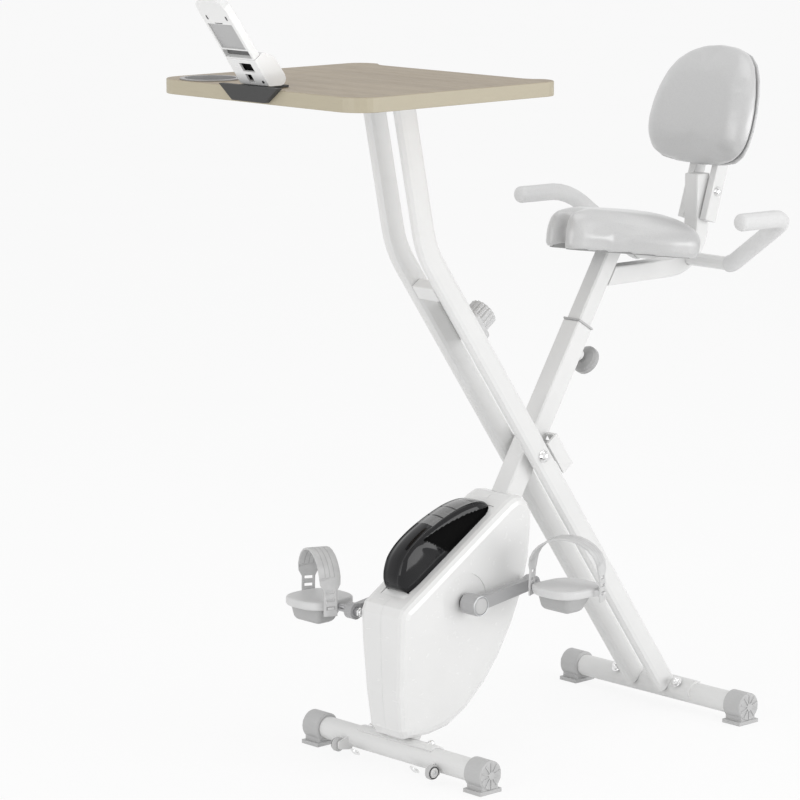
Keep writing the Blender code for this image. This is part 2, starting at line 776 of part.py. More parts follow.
def with_tube(x, z):
    """A point of the housing as it was drawn, moved with the slope of the main tube."""
    return x + z * (tan(SEAT_LEAN) - HOUSING_SLOPE), z


def narrowed(z):
    """How much the housing keeps of its full half width at a height."""
    share = min(1, max(0, (-0.190 - z) / 0.220))
    share = share * share * (3 - 2 * share)
    return 1 - (1 - HOUSING_FOOT_HALF / HOUSING_HALF) * share


def moulded(name, outline, low, high, edge, side):
    """A half of a moulded body: an outline raised from the seam, with a rounded outer rim."""
    rings = [(low, 0.0), (high - edge, 0.0)]
    rings += [(high - edge + edge * sin(radians(a)), edge * (1 - cos(radians(a)))) for a in (30, 60, 90)]
    bm = bmesh.new()
    loops = []
    for height, shrink in rings:
        points = offset(outline, shrink) if shrink else outline
        loops.append([bm.verts.new((x, side * height, z)) for x, z in points])
    count = len(outline)
    for lower, upper in zip(loops, loops[1:]):
        for i in range(count):
            j = (i + 1) % count
            bm.faces.new((lower[i], lower[j], upper[j], upper[i]))
    bm.faces.new(loops[0])
    bm.faces.new(loops[-1])
    for level in (-0.200, -0.245, -0.290, -0.335, -0.380):
        bmesh.ops.bisect_plane(bm, geom=bm.verts[:] + bm.edges[:] + bm.faces[:], dist=0.000001,
                               plane_co=(0, 0, level), plane_no=(0, 0, 1))
    bmesh.ops.triangulate(bm, faces=[f for f in bm.faces if len(f.verts) > 4])
    for vert in bm.verts:
        vert.co.y *= narrowed(vert.co.z)
    return to_mesh(name, bm)


def housing_half(name, side):
    """One moulded half, a thin shell that is open at the seam."""
    place = Matrix.Translation(at(0, 0, 0))
    material = paint("white_gloss", (0.88, 0.88, 0.87), 0.2)
    outline = housing_outline()
    half = finish(name, moulded(name, outline, GAP / 2, HOUSING_HALF, HOUSING_BEVEL, side), material, place)
    combine(half, "DIFFERENCE", moulded(name + "_inner", offset(outline, HOUSING_WALL), -0.002,
                                        HOUSING_HALF - HOUSING_WALL, HOUSING_BEVEL - HOUSING_WALL, side))
    hub = (-CRANK_AHEAD, side * HOUSING_HALF, -CRANK_BELOW)
    combine(half, "DIFFERENCE", cylinder("dish", DISH_RADIUS, 2 * DISH_DEPTH, hub, segments=40))
    combine(half, "DIFFERENCE", cylinder("axle_hole", AXLE_RADIUS + 0.004, 0.05, hub, segments=28))
    tube_cut = box("tube_cut", (SEAT_TUBE + 2 * GAP, SEAT_TUBE + 2 * GAP, 0.60), (0, 0, -0.22))
    combine(half, "DIFFERENCE", tube_cut, matrix=leaning(0, 0, SEAT_LEAN))
    combine(half, "DIFFERENCE", plate("cover_cut", cover_opening(), 2 * (COVER_HALF + GAP)))
    return half


COVER_TOP = Vector(with_tube(-0.094, -0.0696))
COVER_FOOT = Vector(with_tube(-0.284, -0.1886))
COVER_CROWN = [(0.000, 0.000), (-0.003, 0.008), (-0.002, 0.017), (0.008, 0.029), (0.020, 0.041), (0.038, 0.052),
               (0.060, 0.0575), (0.085, 0.058), (0.110, 0.0555), (0.140, 0.0505), (0.170, 0.043), (0.195, 0.032),
               (0.212, 0.020), (0.222, 0.009), (0.2242, 0.000)]


def cover_axes():
    """Unit directions along the chord of the cover, and out of the housing."""
    along = (COVER_TOP - COVER_FOOT).normalized()
    return along, Vector((-along.y, along.x))


def cover_opening():
    along, out = cover_axes()
    foot, top = COVER_FOOT - along * GAP, COVER_TOP + along * GAP
    return [tuple(foot + out * 0.03), tuple(foot - out * 0.02), tuple(top - out * 0.02), tuple(top + out * 0.03)]


def flywheel_cover():
    """The black glossy hood that bulges out of the front of the housing."""
    along, out = cover_axes()
    length = (COVER_TOP - COVER_FOOT).length
    bm = bmesh.new()
    rows = []
    for distance, height in COVER_CROWN:
        row = []
        base = min(max(distance, 0), length)
        for k in range(13):
            angle = pi * k / 12
            rise = sin(angle) ** 0.85
            spot = COVER_FOOT + along * (base + (distance - base) * rise) + out * (height * rise)
            row.append(bm.verts.new((spot.x, -COVER_HALF * cos(angle), spot.y)))
        rows.append(row)
    for lower, upper in zip(rows, rows[1:]):
        for k in range(12):
            bm.faces.new((lower[k], upper[k], upper[k + 1], lower[k + 1]))
    bmesh.ops.remove_doubles(bm, verts=bm.verts, dist=0.00003)
    bmesh.ops.triangulate(bm, faces=bm.faces)
    mesh = bpy.data.meshes.new("flywheel_cover")
    bm.to_mesh(mesh)
    bm.free()
    place = Matrix.Translation(at(0, 0, 0))
    cover = finish("flywheel_cover", mesh, paint("black_gloss", (0.004, 0.004, 0.004), 0.08), place, 50)
    shell = cover.modifiers.new("wall", "SOLIDIFY")
    shell.thickness = COVER_WALL
    shell.offset = -1
    return cover


# Crank, pedals and drive
def crank_axle():
    centre = at(-CRANK_AHEAD, 0, -CRANK_BELOW)
    mesh = cylinder("crank_axle", AXLE_RADIUS, 2 * AXLE_HALF, segments=24)
    return finish("crank_axle", mesh, paint("steel", (0.6, 0.6, 0.6), 0.3, 1), Matrix.Translation(centre))


def crank_bearing(name, side):
    centre = at(-CRANK_AHEAD, side * (CRANK_SHELL_HALF - (BEARING_WIDTH - GAP) / 2), -CRANK_BELOW)
    half = BEARING_WIDTH / 2 - GAP
    profile = [(AXLE_RADIUS + GAP, half), (BEARING_RADIUS, half), (BEARING_RADIUS, -half), (AXLE_RADIUS + GAP, -half),
               (AXLE_RADIUS + GAP, half)]
    matrix = Matrix.Translation(centre) @ Matrix.Rotation(pi / 2, 4, "X")
    return finish(name, turned(name, profile, 20), paint("steel", (0.6, 0.6, 0.6)), matrix)


def drive_pulley():
    """The large pulley on the crank axle, a dished disc with six windows."""
    middle = -(PULLEY_INNER + PULLEY_WIDTH / 2)
    centre = at(-CRANK_AHEAD, middle, -CRANK_BELOW)
    half = PULLEY_WIDTH / 2
    profile = [(AXLE_RADIUS + GAP, half), (0.016, half), (0.018, 0.002), (PULLEY_RADIUS - 0.008, 0.002),
               (PULLEY_RADIUS - 0.006, half), (PULLEY_RADIUS, half), (PULLEY_RADIUS, -half),
               (PULLEY_RADIUS - 0.006, -half), (PULLEY_RADIUS - 0.008, -0.002), (0.018, -0.002), (0.016, -half),
               (AXLE_RADIUS + GAP, -half), (AXLE_RADIUS + GAP, half)]
    matrix = Matrix.Translation(centre) @ Matrix.Rotation(pi / 2, 4, "X")
    disc = finish("drive_pulley", turned("drive_pulley", profile, 32), paint("black_plastic", (0.02, 0.02, 0.02)), matrix)
    for i in range(5):
        angle = 2 * pi * i / 5
        spot = (0.036 * cos(angle), 0.036 * sin(angle), 0)
        combine(disc, "DIFFERENCE", cylinder("window", 0.012, 0.03, spot, "Z", 12))
    return disc


def flywheel():
    centre = at(-FLYWHEEL_AHEAD, FLYWHEEL_INNER + FLYWHEEL_WIDTH / 2, -FLYWHEEL_BELOW)
    half = FLYWHEEL_WIDTH / 2
    bore = FLYWHEEL_AXLE_RADIUS + GAP
    rim = FLYWHEEL_RADIUS - 0.014
    profile = [(bore, half), (0.014, half), (0.016, 0.003), (rim, 0.003), (rim + 0.002, half), (FLYWHEEL_RADIUS, half),
               (FLYWHEEL_RADIUS, -half), (rim + 0.002, -half), (rim, -0.003), (0.016, -0.003), (0.014, -half),
               (bore, -half), (bore, half)]
    matrix = Matrix.Translation(centre) @ Matrix.Rotation(pi / 2, 4, "X")
    return finish("flywheel", turned("flywheel", profile, 40), paint("cast_iron", (0.12, 0.12, 0.12), 0.5, 1), matrix)


def flywheel_axle():
    """The flywheel's shaft, turned in one piece with the small belt pulley."""
    right = FLYWHEEL_INNER + FLYWHEEL_WIDTH + 0.003
    left = -(PULLEY_INNER + PULLEY_WIDTH)
    shoulder = -(PULLEY_INNER - 0.001)
    radius = FLYWHEEL_AXLE_RADIUS
    small = SMALL_PULLEY_RADIUS
    profile = [(0, right), (radius - 0.001, right), (radius, right - 0.001), (radius, shoulder), (small + 0.002, shoulder),
               (small + 0.002, shoulder - 0.001), (small, shoulder - 0.001), (small, left), (small + 0.002, left),
               (small + 0.002, left - 0.001), (0, left - 0.001)]
    centre = at(-FLYWHEEL_AHEAD, 0, -FLYWHEEL_BELOW)
    matrix = Matrix.Translation(centre) @ Matrix.Rotation(-pi / 2, 4, "X")
    return finish("flywheel_axle", turned("flywheel_axle", profile, 20), paint("steel", (0.6, 0.6, 0.6)), matrix)


def belt_loop(grow):
    """The outline of the belt round both pulleys, grown outwards from the pulley rims."""
    big = Vector((-CRANK_AHEAD, -CRANK_BELOW))
    small = Vector((-FLYWHEEL_AHEAD, -FLYWHEEL_BELOW))
    line = small - big
    spread = line.length
    heading = atan2(line.y, line.x) * 180 / pi
    wide, narrow = PULLEY_RADIUS + grow, SMALL_PULLEY_RADIUS + grow
    lap = atan2(sqrt(spread ** 2 - (wide - narrow) ** 2), wide - narrow) * 180 / pi
    return (arc(tuple(big), wide, heading + lap, heading + 360 - lap, 28)
            + arc(tuple(small), narrow, heading - lap, heading + lap, 12))


def drive_belt():
    middle = -(PULLEY_INNER + PULLEY_WIDTH / 2)
    mesh = plate("drive_belt", belt_loop(GAP + BELT_THICK), PULLEY_WIDTH - 0.0016, [belt_loop(GAP)])
    mesh.transform(Matrix.Translation((0, middle, 0)))
    return finish("drive_belt", mesh, paint("rubber", (0.03, 0.03, 0.03), 0.8), Matrix.Translation(at(0, 0, 0)))


def magnet_hinge():
    """Where the magnet shoe hangs from its pin, in X and Z from the pivot bolt."""
    turn = radians(MAGNET_TO)
    reach = FLYWHEEL_RADIUS + MAGNET_GAP + MAGNET_THICK / 2
    return Vector((-FLYWHEEL_AHEAD + reach * cos(turn), -FLYWHEEL_BELOW + reach * sin(turn)))


def magnet_bracket():
    """The curved magnet shoe behind the flywheel, hung from a pin at its upper end."""
    centre = (-FLYWHEEL_AHEAD, -FLYWHEEL_BELOW)
    inner = FLYWHEEL_RADIUS + MAGNET_GAP
    outline = (arc(centre, inner + MAGNET_THICK, MAGNET_FROM, MAGNET_TO, 14)
               + arc(centre, inner, MAGNET_TO, MAGNET_FROM, 14))
    middle = FLYWHEEL_INNER + FLYWHEEL_WIDTH / 2
    mesh = plate("magnet_bracket", outline, FLYWHEEL_WIDTH + 0.003)
    mesh.transform(Matrix.Translation((0, middle, 0)))
    shoe = finish("magnet_bracket", mesh, paint("steel", (0.6, 0.6, 0.6)), Matrix.Translation(at(0, 0, 0)))
    hinge = magnet_hinge()
    eye = cylinder("eye", MAGNET_PIN + 0.0035, FLYWHEEL_WIDTH + 0.003, (hinge.x, middle, hinge.y), segments=20)
    combine(shoe, "UNION", eye)
    bore = cylinder("eye_bore", MAGNET_PIN + GAP, 0.03, (hinge.x, middle, hinge.y), segments=16)
    combine(shoe, "DIFFERENCE", bore)
    ride(joint_empty("magnet_axis", at(hinge.x, middle, hinge.y)), shoe)
    return shoe


def crank_arm(name, side):
    """A crank arm: a round hub on the axle, a tapering arm and a boss for the pedal spindle."""
    turn = CRANK_ANGLE if side < 0 else CRANK_ANGLE + pi
    centre = at(-CRANK_AHEAD, 0, -CRANK_BELOW)
    matrix = Matrix.Translation(centre) @ Matrix.Rotation(-turn, 4, "Y")
    material = paint("crank_grey", (0.22, 0.22, 0.23), 0.45)
    hub_length = HUB_OUTER - HUB_INNER
    hub = cylinder(name, HUB_RADIUS, hub_length, (0, side * (HUB_INNER + HUB_OUTER) / 2, 0), segments=28)
    arm = finish(name, hub, material, matrix)
    bevelled(arm, 0.0025, 2, 60)
    outline = rounded([(0, -ARM_HEIGHT / 2), (CRANK_RADIUS, -ARM_HEIGHT / 2 + 0.0015),
                       (CRANK_RADIUS, ARM_HEIGHT / 2 - 0.0015), (0, ARM_HEIGHT / 2)], 0)
    bar = plate("arm_bar", outline, ARM_OUTER - ARM_INNER)
    bar.transform(Matrix.Translation((0, side * (ARM_OUTER + ARM_INNER) / 2, 0)))
    boss = cylinder("arm_boss", ARM_END_RADIUS, ARM_OUTER - ARM_INNER + 0.004,
                    (CRANK_RADIUS, side * (ARM_OUTER + ARM_INNER) / 2, 0), segments=20)
    combine(arm, "UNION", bar, boss)
    bore_length = AXLE_HALF - HUB_INNER + 0.002 + GAP
    combine(arm, "DIFFERENCE",
            cylinder("axle_socket", AXLE_RADIUS + GAP, bore_length,
                     (0, side * (HUB_INNER - 0.002 + bore_length / 2), 0), segments=24),
            cylinder("spindle_bore", SPINDLE_RADIUS + GAP, 0.05,
                     (CRANK_RADIUS, side * (ARM_OUTER + ARM_INNER) / 2, 0), segments=24))
    return arm


def pedal_centre(side):
    turn = CRANK_ANGLE if side < 0 else CRANK_ANGLE + pi
    return at(-CRANK_AHEAD + CRANK_RADIUS * cos(turn), 0, -CRANK_BELOW + CRANK_RADIUS * sin(turn))


def pedal_spindle(name, side):
    """A shouldered spindle with a flat head behind the arm."""
    start = ARM_INNER - 0.002 - GAP
    end = PEDAL_INNER + PEDAL_WIDTH - 0.012
    radius = SPINDLE_RADIUS
    collar = PEDAL_INNER - RUN_GAP
    profile = [(0, end), (radius - 0.001, end), (radius - 0.001, collar), (radius, collar), (radius, start), (radius + 0.0015, start),
               (radius + 0.0015, start - 0.005), (0, start - 0.005)]
    matrix = Matrix.Translation(pedal_centre(side)) @ Matrix.Rotation(-side * pi / 2, 4, "X")
    return finish(name, turned(name, profile, 16), paint("steel", (0.6, 0.6, 0.6)), matrix)


def pedal(name, side):
    """A weighted pedal: a rounded platform over a body that tapers to its underside."""
    centre = pedal_centre(side)
    middle = side * (PEDAL_INNER + PEDAL_WIDTH / 2)
    material = paint("pedal_grey", (0.35, 0.35, 0.35), 0.55)
    outline = rectangle(PEDAL_LENGTH, PEDAL_WIDTH, PEDAL_CORNER, (0, middle), 6)
    top = slab(name, outline, PEDAL_PLATE)
    top.transform(Matrix.Translation((0, 0, 0.004)))
    foot = finish(name, top, material, Matrix.Translation(centre))
    bevelled(foot, 0.003, 2, 60)
    underside = 0.004 - PEDAL_PLATE / 2
    body = box("body", (PEDAL_BODY_LENGTH, PEDAL_WIDTH - 0.010, PEDAL_BODY_DEPTH + 0.004),
               (-0.006, middle, underside - PEDAL_BODY_DEPTH / 2 + 0.002))
    for vert in body.vertices:
        if vert.co.z < underside - PEDAL_BODY_DEPTH / 2:
            vert.co.x = -0.014 + (vert.co.x + 0.006) * 0.62
            vert.co.y = middle + (vert.co.y - middle) * 0.86
    combine(foot, "UNION", body)
    skew = strap_skew(side)
    for end in (-1, 1):
        reach = PEDAL_WIDTH / 2 + STRAP_GAP
        inner = reach - STRAP_THICK / 2 - GAP
        lug = box("lug", (0.014, 0.014, 0.010), (0, end * (inner - 0.007), PEG_HEIGHT))
        peg = box("peg", (0.011, 0.014, 0.0035), (0, end * (reach - 0.003), PEG_HEIGHT))
        for mesh in (lug, peg):
            mesh.transform(Matrix.Translation((0, middle, 0)) @ skew)
        combine(foot, "UNION", lug, peg)
    bore = cylinder("bore", SPINDLE_RADIUS - 0.001 + GAP, PEDAL_WIDTH - 0.010,
                    (0, side * (PEDAL_INNER + (PEDAL_WIDTH - 0.010) / 2 - 0.001), 0), segments=20)
    combine(foot, "DIFFERENCE", bore)
    ride(joint_empty(name + "_axis", centre), foot)
    return foot


def strap_skew(side):
    """Turns the strap across the foot, and stretches it so that it still spans the pedal."""
    return Matrix.Rotation(side * -STRAP_SKEW, 4, "Z") @ Matrix.Diagonal((1, 1 / cos(STRAP_SKEW), 1, 1))


def strap_path():
    """The strap's middle line over the foot, in its own plane: across, and up."""
    half = PEDAL_WIDTH / 2 + STRAP_GAP
    shoulder = STRAP_RISE - 0.046
    low = [(-half, -0.010), (-half, 0.016), (-half + 0.001, shoulder - 0.010)]
    crown = [(half * 0.98 * cos(radians(180 - 180 * k / 12)), shoulder + 0.046 * sin(radians(180 - 180 * k / 12)))
             for k in range(13)]
    high = [(half - 0.001, shoulder - 0.010), (half, 0.016), (half, -0.010)]
    return low + crown + high


def pedal_strap(name, side):
    """A soft strap over the foot, wider over the instep, with two slots in each tongue."""
    centre = pedal_centre(side)
    middle = side * (PEDAL_INNER + PEDAL_WIDTH / 2)
    bm = bmesh.new()
    rows = []
    for across, up in strap_path():
        width = STRAP_WIDTH + STRAP_EXTRA * min(1, max(0, (up - 0.030) / 0.012))
        row = [bm.verts.new((width * (k / 4 - 0.5), across, up)) for k in range(5)]
        rows.append(row)
    for first, second in zip(rows, rows[1:]):
        for k in range(4):
            bm.faces.new((first[k], first[k + 1], second[k + 1], second[k]))
    skew = strap_skew(side)
    matrix = Matrix.Translation(centre + Vector((0, middle, 0)))
    strap = finish(name, to_mesh(name, bm), paint("strap_grey", (0.42, 0.42, 0.42), 0.6), matrix)
    strap.data.transform(skew)
    shell = strap.modifiers.new("thickness", "SOLIDIFY")
    shell.thickness = STRAP_THICK
    shell.offset = 0
    reach = PEDAL_WIDTH / 2 + STRAP_GAP
    for end in (-1, 1):
        for height in (PEG_HEIGHT, PEG_HEIGHT + 0.0125, PEG_HEIGHT + 0.025):
            slot = box("slot", (0.0135, 0.012, 0.005), (0, end * reach, height))
            slot.transform(skew)
            combine(strap, "DIFFERENCE", slot)
    ride(bpy.data.objects[name.replace("strap", "pedal") + "_axis"], strap)
    return strap


# Rear frame
def leg_path():
    """Centre line of a rear tube from the stabiliser up to the desk head, in X and Z from the pivot."""
    foot_drop = PIVOT_RISE - STAB_RADIUS * 0.55
    foot = Vector((foot_drop * tan(LEG_LEAN), 0, -foot_drop))
    bend = Vector((-BEND_ABOVE_PIVOT * sin(LEG_LEAN), 0, BEND_ABOVE_PIVOT * cos(LEG_LEAN)))
    rise = head_bottom() - GAP - bend.z
    top = bend + Vector((-rise * tan(POST_LEAN), 0, rise))
    return foot, bend, top


def head_bottom():
    """Height of the underside of the desk head, from the pivot."""
    return channel_bottom() - 0.004


def rear_tube(name, side):
    foot, bend, top = leg_path()
    path = smooth_path([foot, bend, top + (top - bend).normalized() * 0.02], [BEND_RADIUS], 6)
    mesh = section_along(name, oval(LEG_WIDTH, LEG_DEPTH), path)
    place = Matrix.Translation(at(0, side * LEG_SPACING / 2, 0))
    tube = finish(name, mesh, paint("white_enamel", (0.86, 0.86, 0.85)), place)
    over = (path[-1] - path[-2]).normalized() * 0.01
    under = (path[0] - path[1]).normalized() * 0.01
    hollow = section_along(name + "_hollow", oval(LEG_WIDTH - 2 * LEG_WALL, LEG_DEPTH - 2 * LEG_WALL),
                           [path[0] + under] + path[1:-1] + [path[-1] + over])
    sleeve = cylinder("pivot_sleeve", PIVOT_BOLT_RADIUS + 0.003, LEG_WIDTH - LEG_WALL, segments=20)
    combine(tube, "DIFFERENCE",
            cylinder("stabilizer_clear", STAB_RADIUS + SADDLE_WALL + GAP, 0.08, (REAR_REACH, 0, -PIVOT_RISE),
                     segments=36),
            box("level_top", (0.2, 0.1, 0.1), (top.x, 0, top.z + 0.05)),
            cylinder("pivot_bore", PIVOT_BOLT_RADIUS + GAP, 0.08, segments=24),
            joined(name + "_cavity", hollow, sleeve, "DIFFERENCE"))
    return tube


def crossbar():
    """The square bar welded between the rear tubes below the bend."""
    frame = leaning(0, 0, -LEG_LEAN)
    width = 2 * (LEG_INNER - GAP)
    mesh = box("upper_crossbar", (0.020, width, CROSSBAR_HEIGHT), (-LEG_DEPTH / 2 + 0.013, 0, CROSSBAR_AT))
    return bevelled(finish("upper_crossbar", mesh, paint("white_enamel", (0.86, 0.86, 0.85)), frame), 0.002, 2)


def bridge_plate():
    """The plate between the rear tubes that carries the tension control."""
    frame = leaning(0, 0, -LEG_LEAN)
    outline = rectangle(LEG_SPACING, BRIDGE_HEIGHT, 0.002)
    mesh = facing_x(plate("bridge_plate", outline, BRIDGE_THICK))
    mesh.transform(Matrix.Translation((LEG_DEPTH / 2 - BRIDGE_THICK / 2, 0, BRIDGE_AT)))
    sheet = finish("bridge_plate", mesh, paint("white_enamel", (0.86, 0.86, 0.85)), frame)
    hole = cylinder("stem_hole", 0.0045, 0.02, (LEG_DEPTH / 2, 0, TENSION_AT), "X", 20)
    combine(sheet, "DIFFERENCE", hole)
    for side in (-1, 1):
        groove = slab("tube_groove", oval(LEG_WIDTH + 2 * GAP, LEG_DEPTH + 2 * GAP), 2 * BRIDGE_HEIGHT)
        groove.transform(Matrix.Translation((0, side * LEG_SPACING / 2, BRIDGE_AT)) @ Matrix.Rotation(pi / 2, 4, "Z"))
        combine(sheet, "DIFFERENCE", groove)
    return sheet


def tension_base():
    frame = leaning(0, 0, -LEG_LEAN) @ Matrix.Translation((LEG_DEPTH / 2 + GAP, 0, TENSION_AT))
    outline = rectangle(TENSION_BASE, TENSION_BASE, 0.010, (0, 0), 4)
    mesh = facing_x(plate("tension_base", outline, TENSION_BASE_THICK))
    mesh.transform(Matrix.Translation((TENSION_BASE_THICK / 2, 0, 0)))
    base = finish("tension_base", mesh, paint("knob_grey", (0.52, 0.52, 0.52), 0.5), frame)
    bevelled(base, 0.002, 2, 60)
    combine(base, "DIFFERENCE", cylinder("stem_bore", 0.0045, 0.06, (0, 0, 0), "X", 20))
    return base


def tension_knob():
    """A ribbed knob that turns on its stem behind the rear tubes."""
    shift = LEG_DEPTH / 2 + GAP + TENSION_BASE_THICK + RUN_GAP
    frame = leaning(0, 0, -LEG_LEAN) @ Matrix.Translation((shift, 0, TENSION_AT)) @ Matrix.Rotation(pi / 2, 4, "Y")
    ribs = 18
    outline = []
    for i in range(ribs):
        for share, dip in ((0.0, 0.0016), (0.25, 0.0), (0.65, 0.0), (0.9, 0.0016)):
            angle = 2 * pi * (i + share) / ribs
            radius = TENSION_KNOB_RADIUS - dip
            outline.append((radius * cos(angle), radius * sin(angle)))
    mesh = slab("tension_knob", outline, TENSION_KNOB_LENGTH)
    mesh.transform(Matrix.Translation((0, 0, TENSION_KNOB_LENGTH / 2)))
    knob = finish("tension_knob", mesh, paint("knob_grey", (0.2, 0.2, 0.21), 0.5), frame)
    top = TENSION_KNOB_LENGTH
    crown = turned("knob_crown", [(0, top + 0.003), (TENSION_KNOB_RADIUS - 0.008, top + 0.003),
                                  (TENSION_KNOB_RADIUS - 0.003, top - 0.002), (0, top - 0.002)], 28)
    stem_end = -TENSION_BASE_THICK - BRIDGE_THICK - 0.004
    stem = cylinder("stem", 0.004, -stem_end + 0.004, (0, 0, (stem_end + 0.004) / 2), "Z", 20)
    combine(knob, "UNION", crown, stem)
    ride(joint_empty("tension_axis", frame.translation), knob)
    return knob


def stop_bracket():
    """The bent plate behind the pivot, with a ledge for the bumper that the main tube rests on."""
    frame = leaning(0, 0, -LEG_LEAN)
    half = LEG_OUTER - 0.002
    start = LEG_DEPTH / 2 + GAP
    outline = [(start, -half), (STOP_DEPTH, -half), (STOP_DEPTH, half), (start, half), (start, half - STOP_WALL),
               (STOP_DEPTH - STOP_WALL, half - STOP_WALL), (STOP_DEPTH - STOP_WALL, -half + STOP_WALL),
               (start, -half + STOP_WALL)]
    height = STOP_TOP - STOP_BOTTOM
    mesh = slab("stop_bracket", outline, height)
    mesh.transform(Matrix.Translation((0, 0, (STOP_TOP + STOP_BOTTOM) / 2)))
    bracket = finish("stop_bracket", mesh, paint("white_enamel", (0.86, 0.86, 0.85)), frame)
    notch = SEAT_TUBE + 0.006
    combine(bracket, "DIFFERENCE", box("notch", (0.02, notch, 0.1), (STOP_DEPTH, 0, STOP_LEDGE + 0.05)))
    deep = STOP_DEPTH - LEG_DEPTH / 2 - 0.012
    ledge = box("ledge", (deep, SEAT_TUBE - 0.002, STOP_WALL), (STOP_DEPTH - deep / 2, 0, STOP_LEDGE - STOP_WALL / 2))
    combine(bracket, "UNION", ledge)
    return bracket


def stop_bumper():
    """The rubber button on the ledge, cut to the slope of the main tube that rests on it."""
    frame = leaning(0, 0, -LEG_LEAN)
    place = STOP_DEPTH - BUMPER_RADIUS - 0.001
    low = STOP_LEDGE + GAP
    mesh = cylinder("stop_bumper", BUMPER_RADIUS, 0.03, (place, 0, low + 0.015), "Z", 24)
    bumper = finish("stop_bumper", mesh, paint("rubber", (0.03, 0.03, 0.03), 0.8), frame)
    tube_back = box("tube_back", (0.06, 0.06, 0.2), (SEAT_TUBE / 2 + GAP - 0.03, 0, 0.08))
    return combine(bumper, "DIFFERENCE", tube_back, matrix=leaning(0, 0, SEAT_LEAN))


def pivot_bolt():
    """The bolt on which the two frames turn, with a washer and a domed end on each side."""
    reach = LEG_OUTER + GAP
    washer = reach + WASHER_THICK
    half = [(0, washer + DOME_HEIGHT)]
    half += [(DOME_RADIUS * sin(radians(a)), washer + DOME_HEIGHT * cos(radians(a))) for a in (30, 60, 90)]
    half += [(DOME_RADIUS, washer), (WASHER_RADIUS, washer), (WASHER_RADIUS, reach), (PIVOT_BOLT_RADIUS, reach)]
    profile = half + [(radius, -height) for radius, height in reversed(half)]
    matrix = Matrix.Translation(at(0, 0, 0)) @ Matrix.Rotation(pi / 2, 4, "X")
    return finish("pivot_bolt", turned("pivot_bolt", profile, 20), paint("chrome", (0.8, 0.8, 0.8), 0.12, 1), matrix)


def add_rear_saddle(tube):
    """The curved plate under the rear tubes, which the stabiliser is bolted to."""
    inner = STAB_RADIUS - 0.0004
    outer = STAB_RADIUS + SADDLE_WALL
    lean = 90 + degrees(LEG_LEAN)
    spread = 62
    outline = (arc((0, 0), outer, lean - spread, lean + spread, 16)
               + arc((0, 0), inner, lean + spread, lean - spread, 16))
    combine(tube, "UNION", plate("rear_saddle", outline, 2 * SADDLE_HALF + 0.010))


# Seat
def seat_post():
    frame = leaning(0, 0, SEAT_LEAN)
    bottom = SEAT_TUBE_TOP - POST_BELOW_TOP
    top = post_top()
    mesh = box("seat_post", (POST, POST, top - bottom), (0, 0, (top + bottom) / 2))
    post = finish("seat_post", mesh, paint("white_enamel", (0.86, 0.86, 0.85)), frame)
    bevelled(post, 0.0025, 1)
    inside = POST - 2 * POST_WALL
    combine(post, "DIFFERENCE", box("hollow", (inside, inside, top - bottom), (0, 0, (top + bottom) / 2 - 0.010)))
    level = box("level", (0.2, 0.1, 0.1), (0, 0, 0.05))
    combine(post, "DIFFERENCE", level, matrix=pan_frame() @ Matrix.Translation((post_under_pan(), 0, -GAP)))
    for k in range(-1, 4):
        hole = cylinder("pin_hole", PIN_RADIUS + GAP, POST, (POST / 2, 0, KNOB_AT - HOLE_STEP * k), "X", 16)
        combine(post, "DIFFERENCE", hole)
    return post


def pan_frame():
    """Frame at the nose end of the pan's underside: local X runs back along the seat."""
    return leaning(SEAT_NOSE_X, SEAT_NOSE_Z, SEAT_TILT)


def post_under_pan():
    """Where the post's axis meets the underside of the pan, measured along the pan."""
    return (SEAT_NOSE_Z * sin(SEAT_LEAN) - SEAT_NOSE_X * cos(SEAT_LEAN)) / cos(SEAT_LEAN - SEAT_TILT)


def post_top():
    """Length of the post's axis from the pivot to past the pan's underside."""
    along = post_under_pan()
    x = SEAT_NOSE_X + along * cos(SEAT_TILT)
    z = SEAT_NOSE_Z - along * sin(SEAT_TILT)
    return hypot(x, z) + 0.020


def back_support():
    """The square tube that runs back under the seat and turns up to the backrest."""
    points = [(SUPPORT_RUN_Z * tan(SEAT_LEAN), 0, SUPPORT_RUN_Z), (SUPPORT_BACK_X, 0, SUPPORT_RUN_Z),
              (SUPPORT_BACK_X, 0, SUPPORT_TOP_Z)]
    path = smooth_path(points, [SUPPORT_BEND], 7)
    section = rectangle(SUPPORT_DEPTH, SUPPORT_DEPTH, 0.003, (0, 0), 2)
    mesh = section_along("back_support", section, path)
    tube = finish("back_support", mesh, paint("white_enamel", (0.86, 0.86, 0.85)), Matrix.Translation(at(0, 0, 0)))
    post_clear = box("post_clear", (0.08, 0.08, 0.3), (POST / 2 + GAP - 0.04, 0, 0.3))
    combine(tube, "DIFFERENCE", post_clear, matrix=leaning(0, 0, SEAT_LEAN))
    bolt = cylinder("bolt_bore", PIVOT_BOLT_RADIUS - 0.001 + GAP, 0.08, (BOLT_X, 0, BOLT_Z), segments=20)
    handle = cylinder("handle_bore", HANDLE_RADIUS + GAP, 0.08, (HANDLE_X, 0, HANDLE_Z), segments=24)
    combine(tube, "DIFFERENCE", bolt, handle)
    return tube


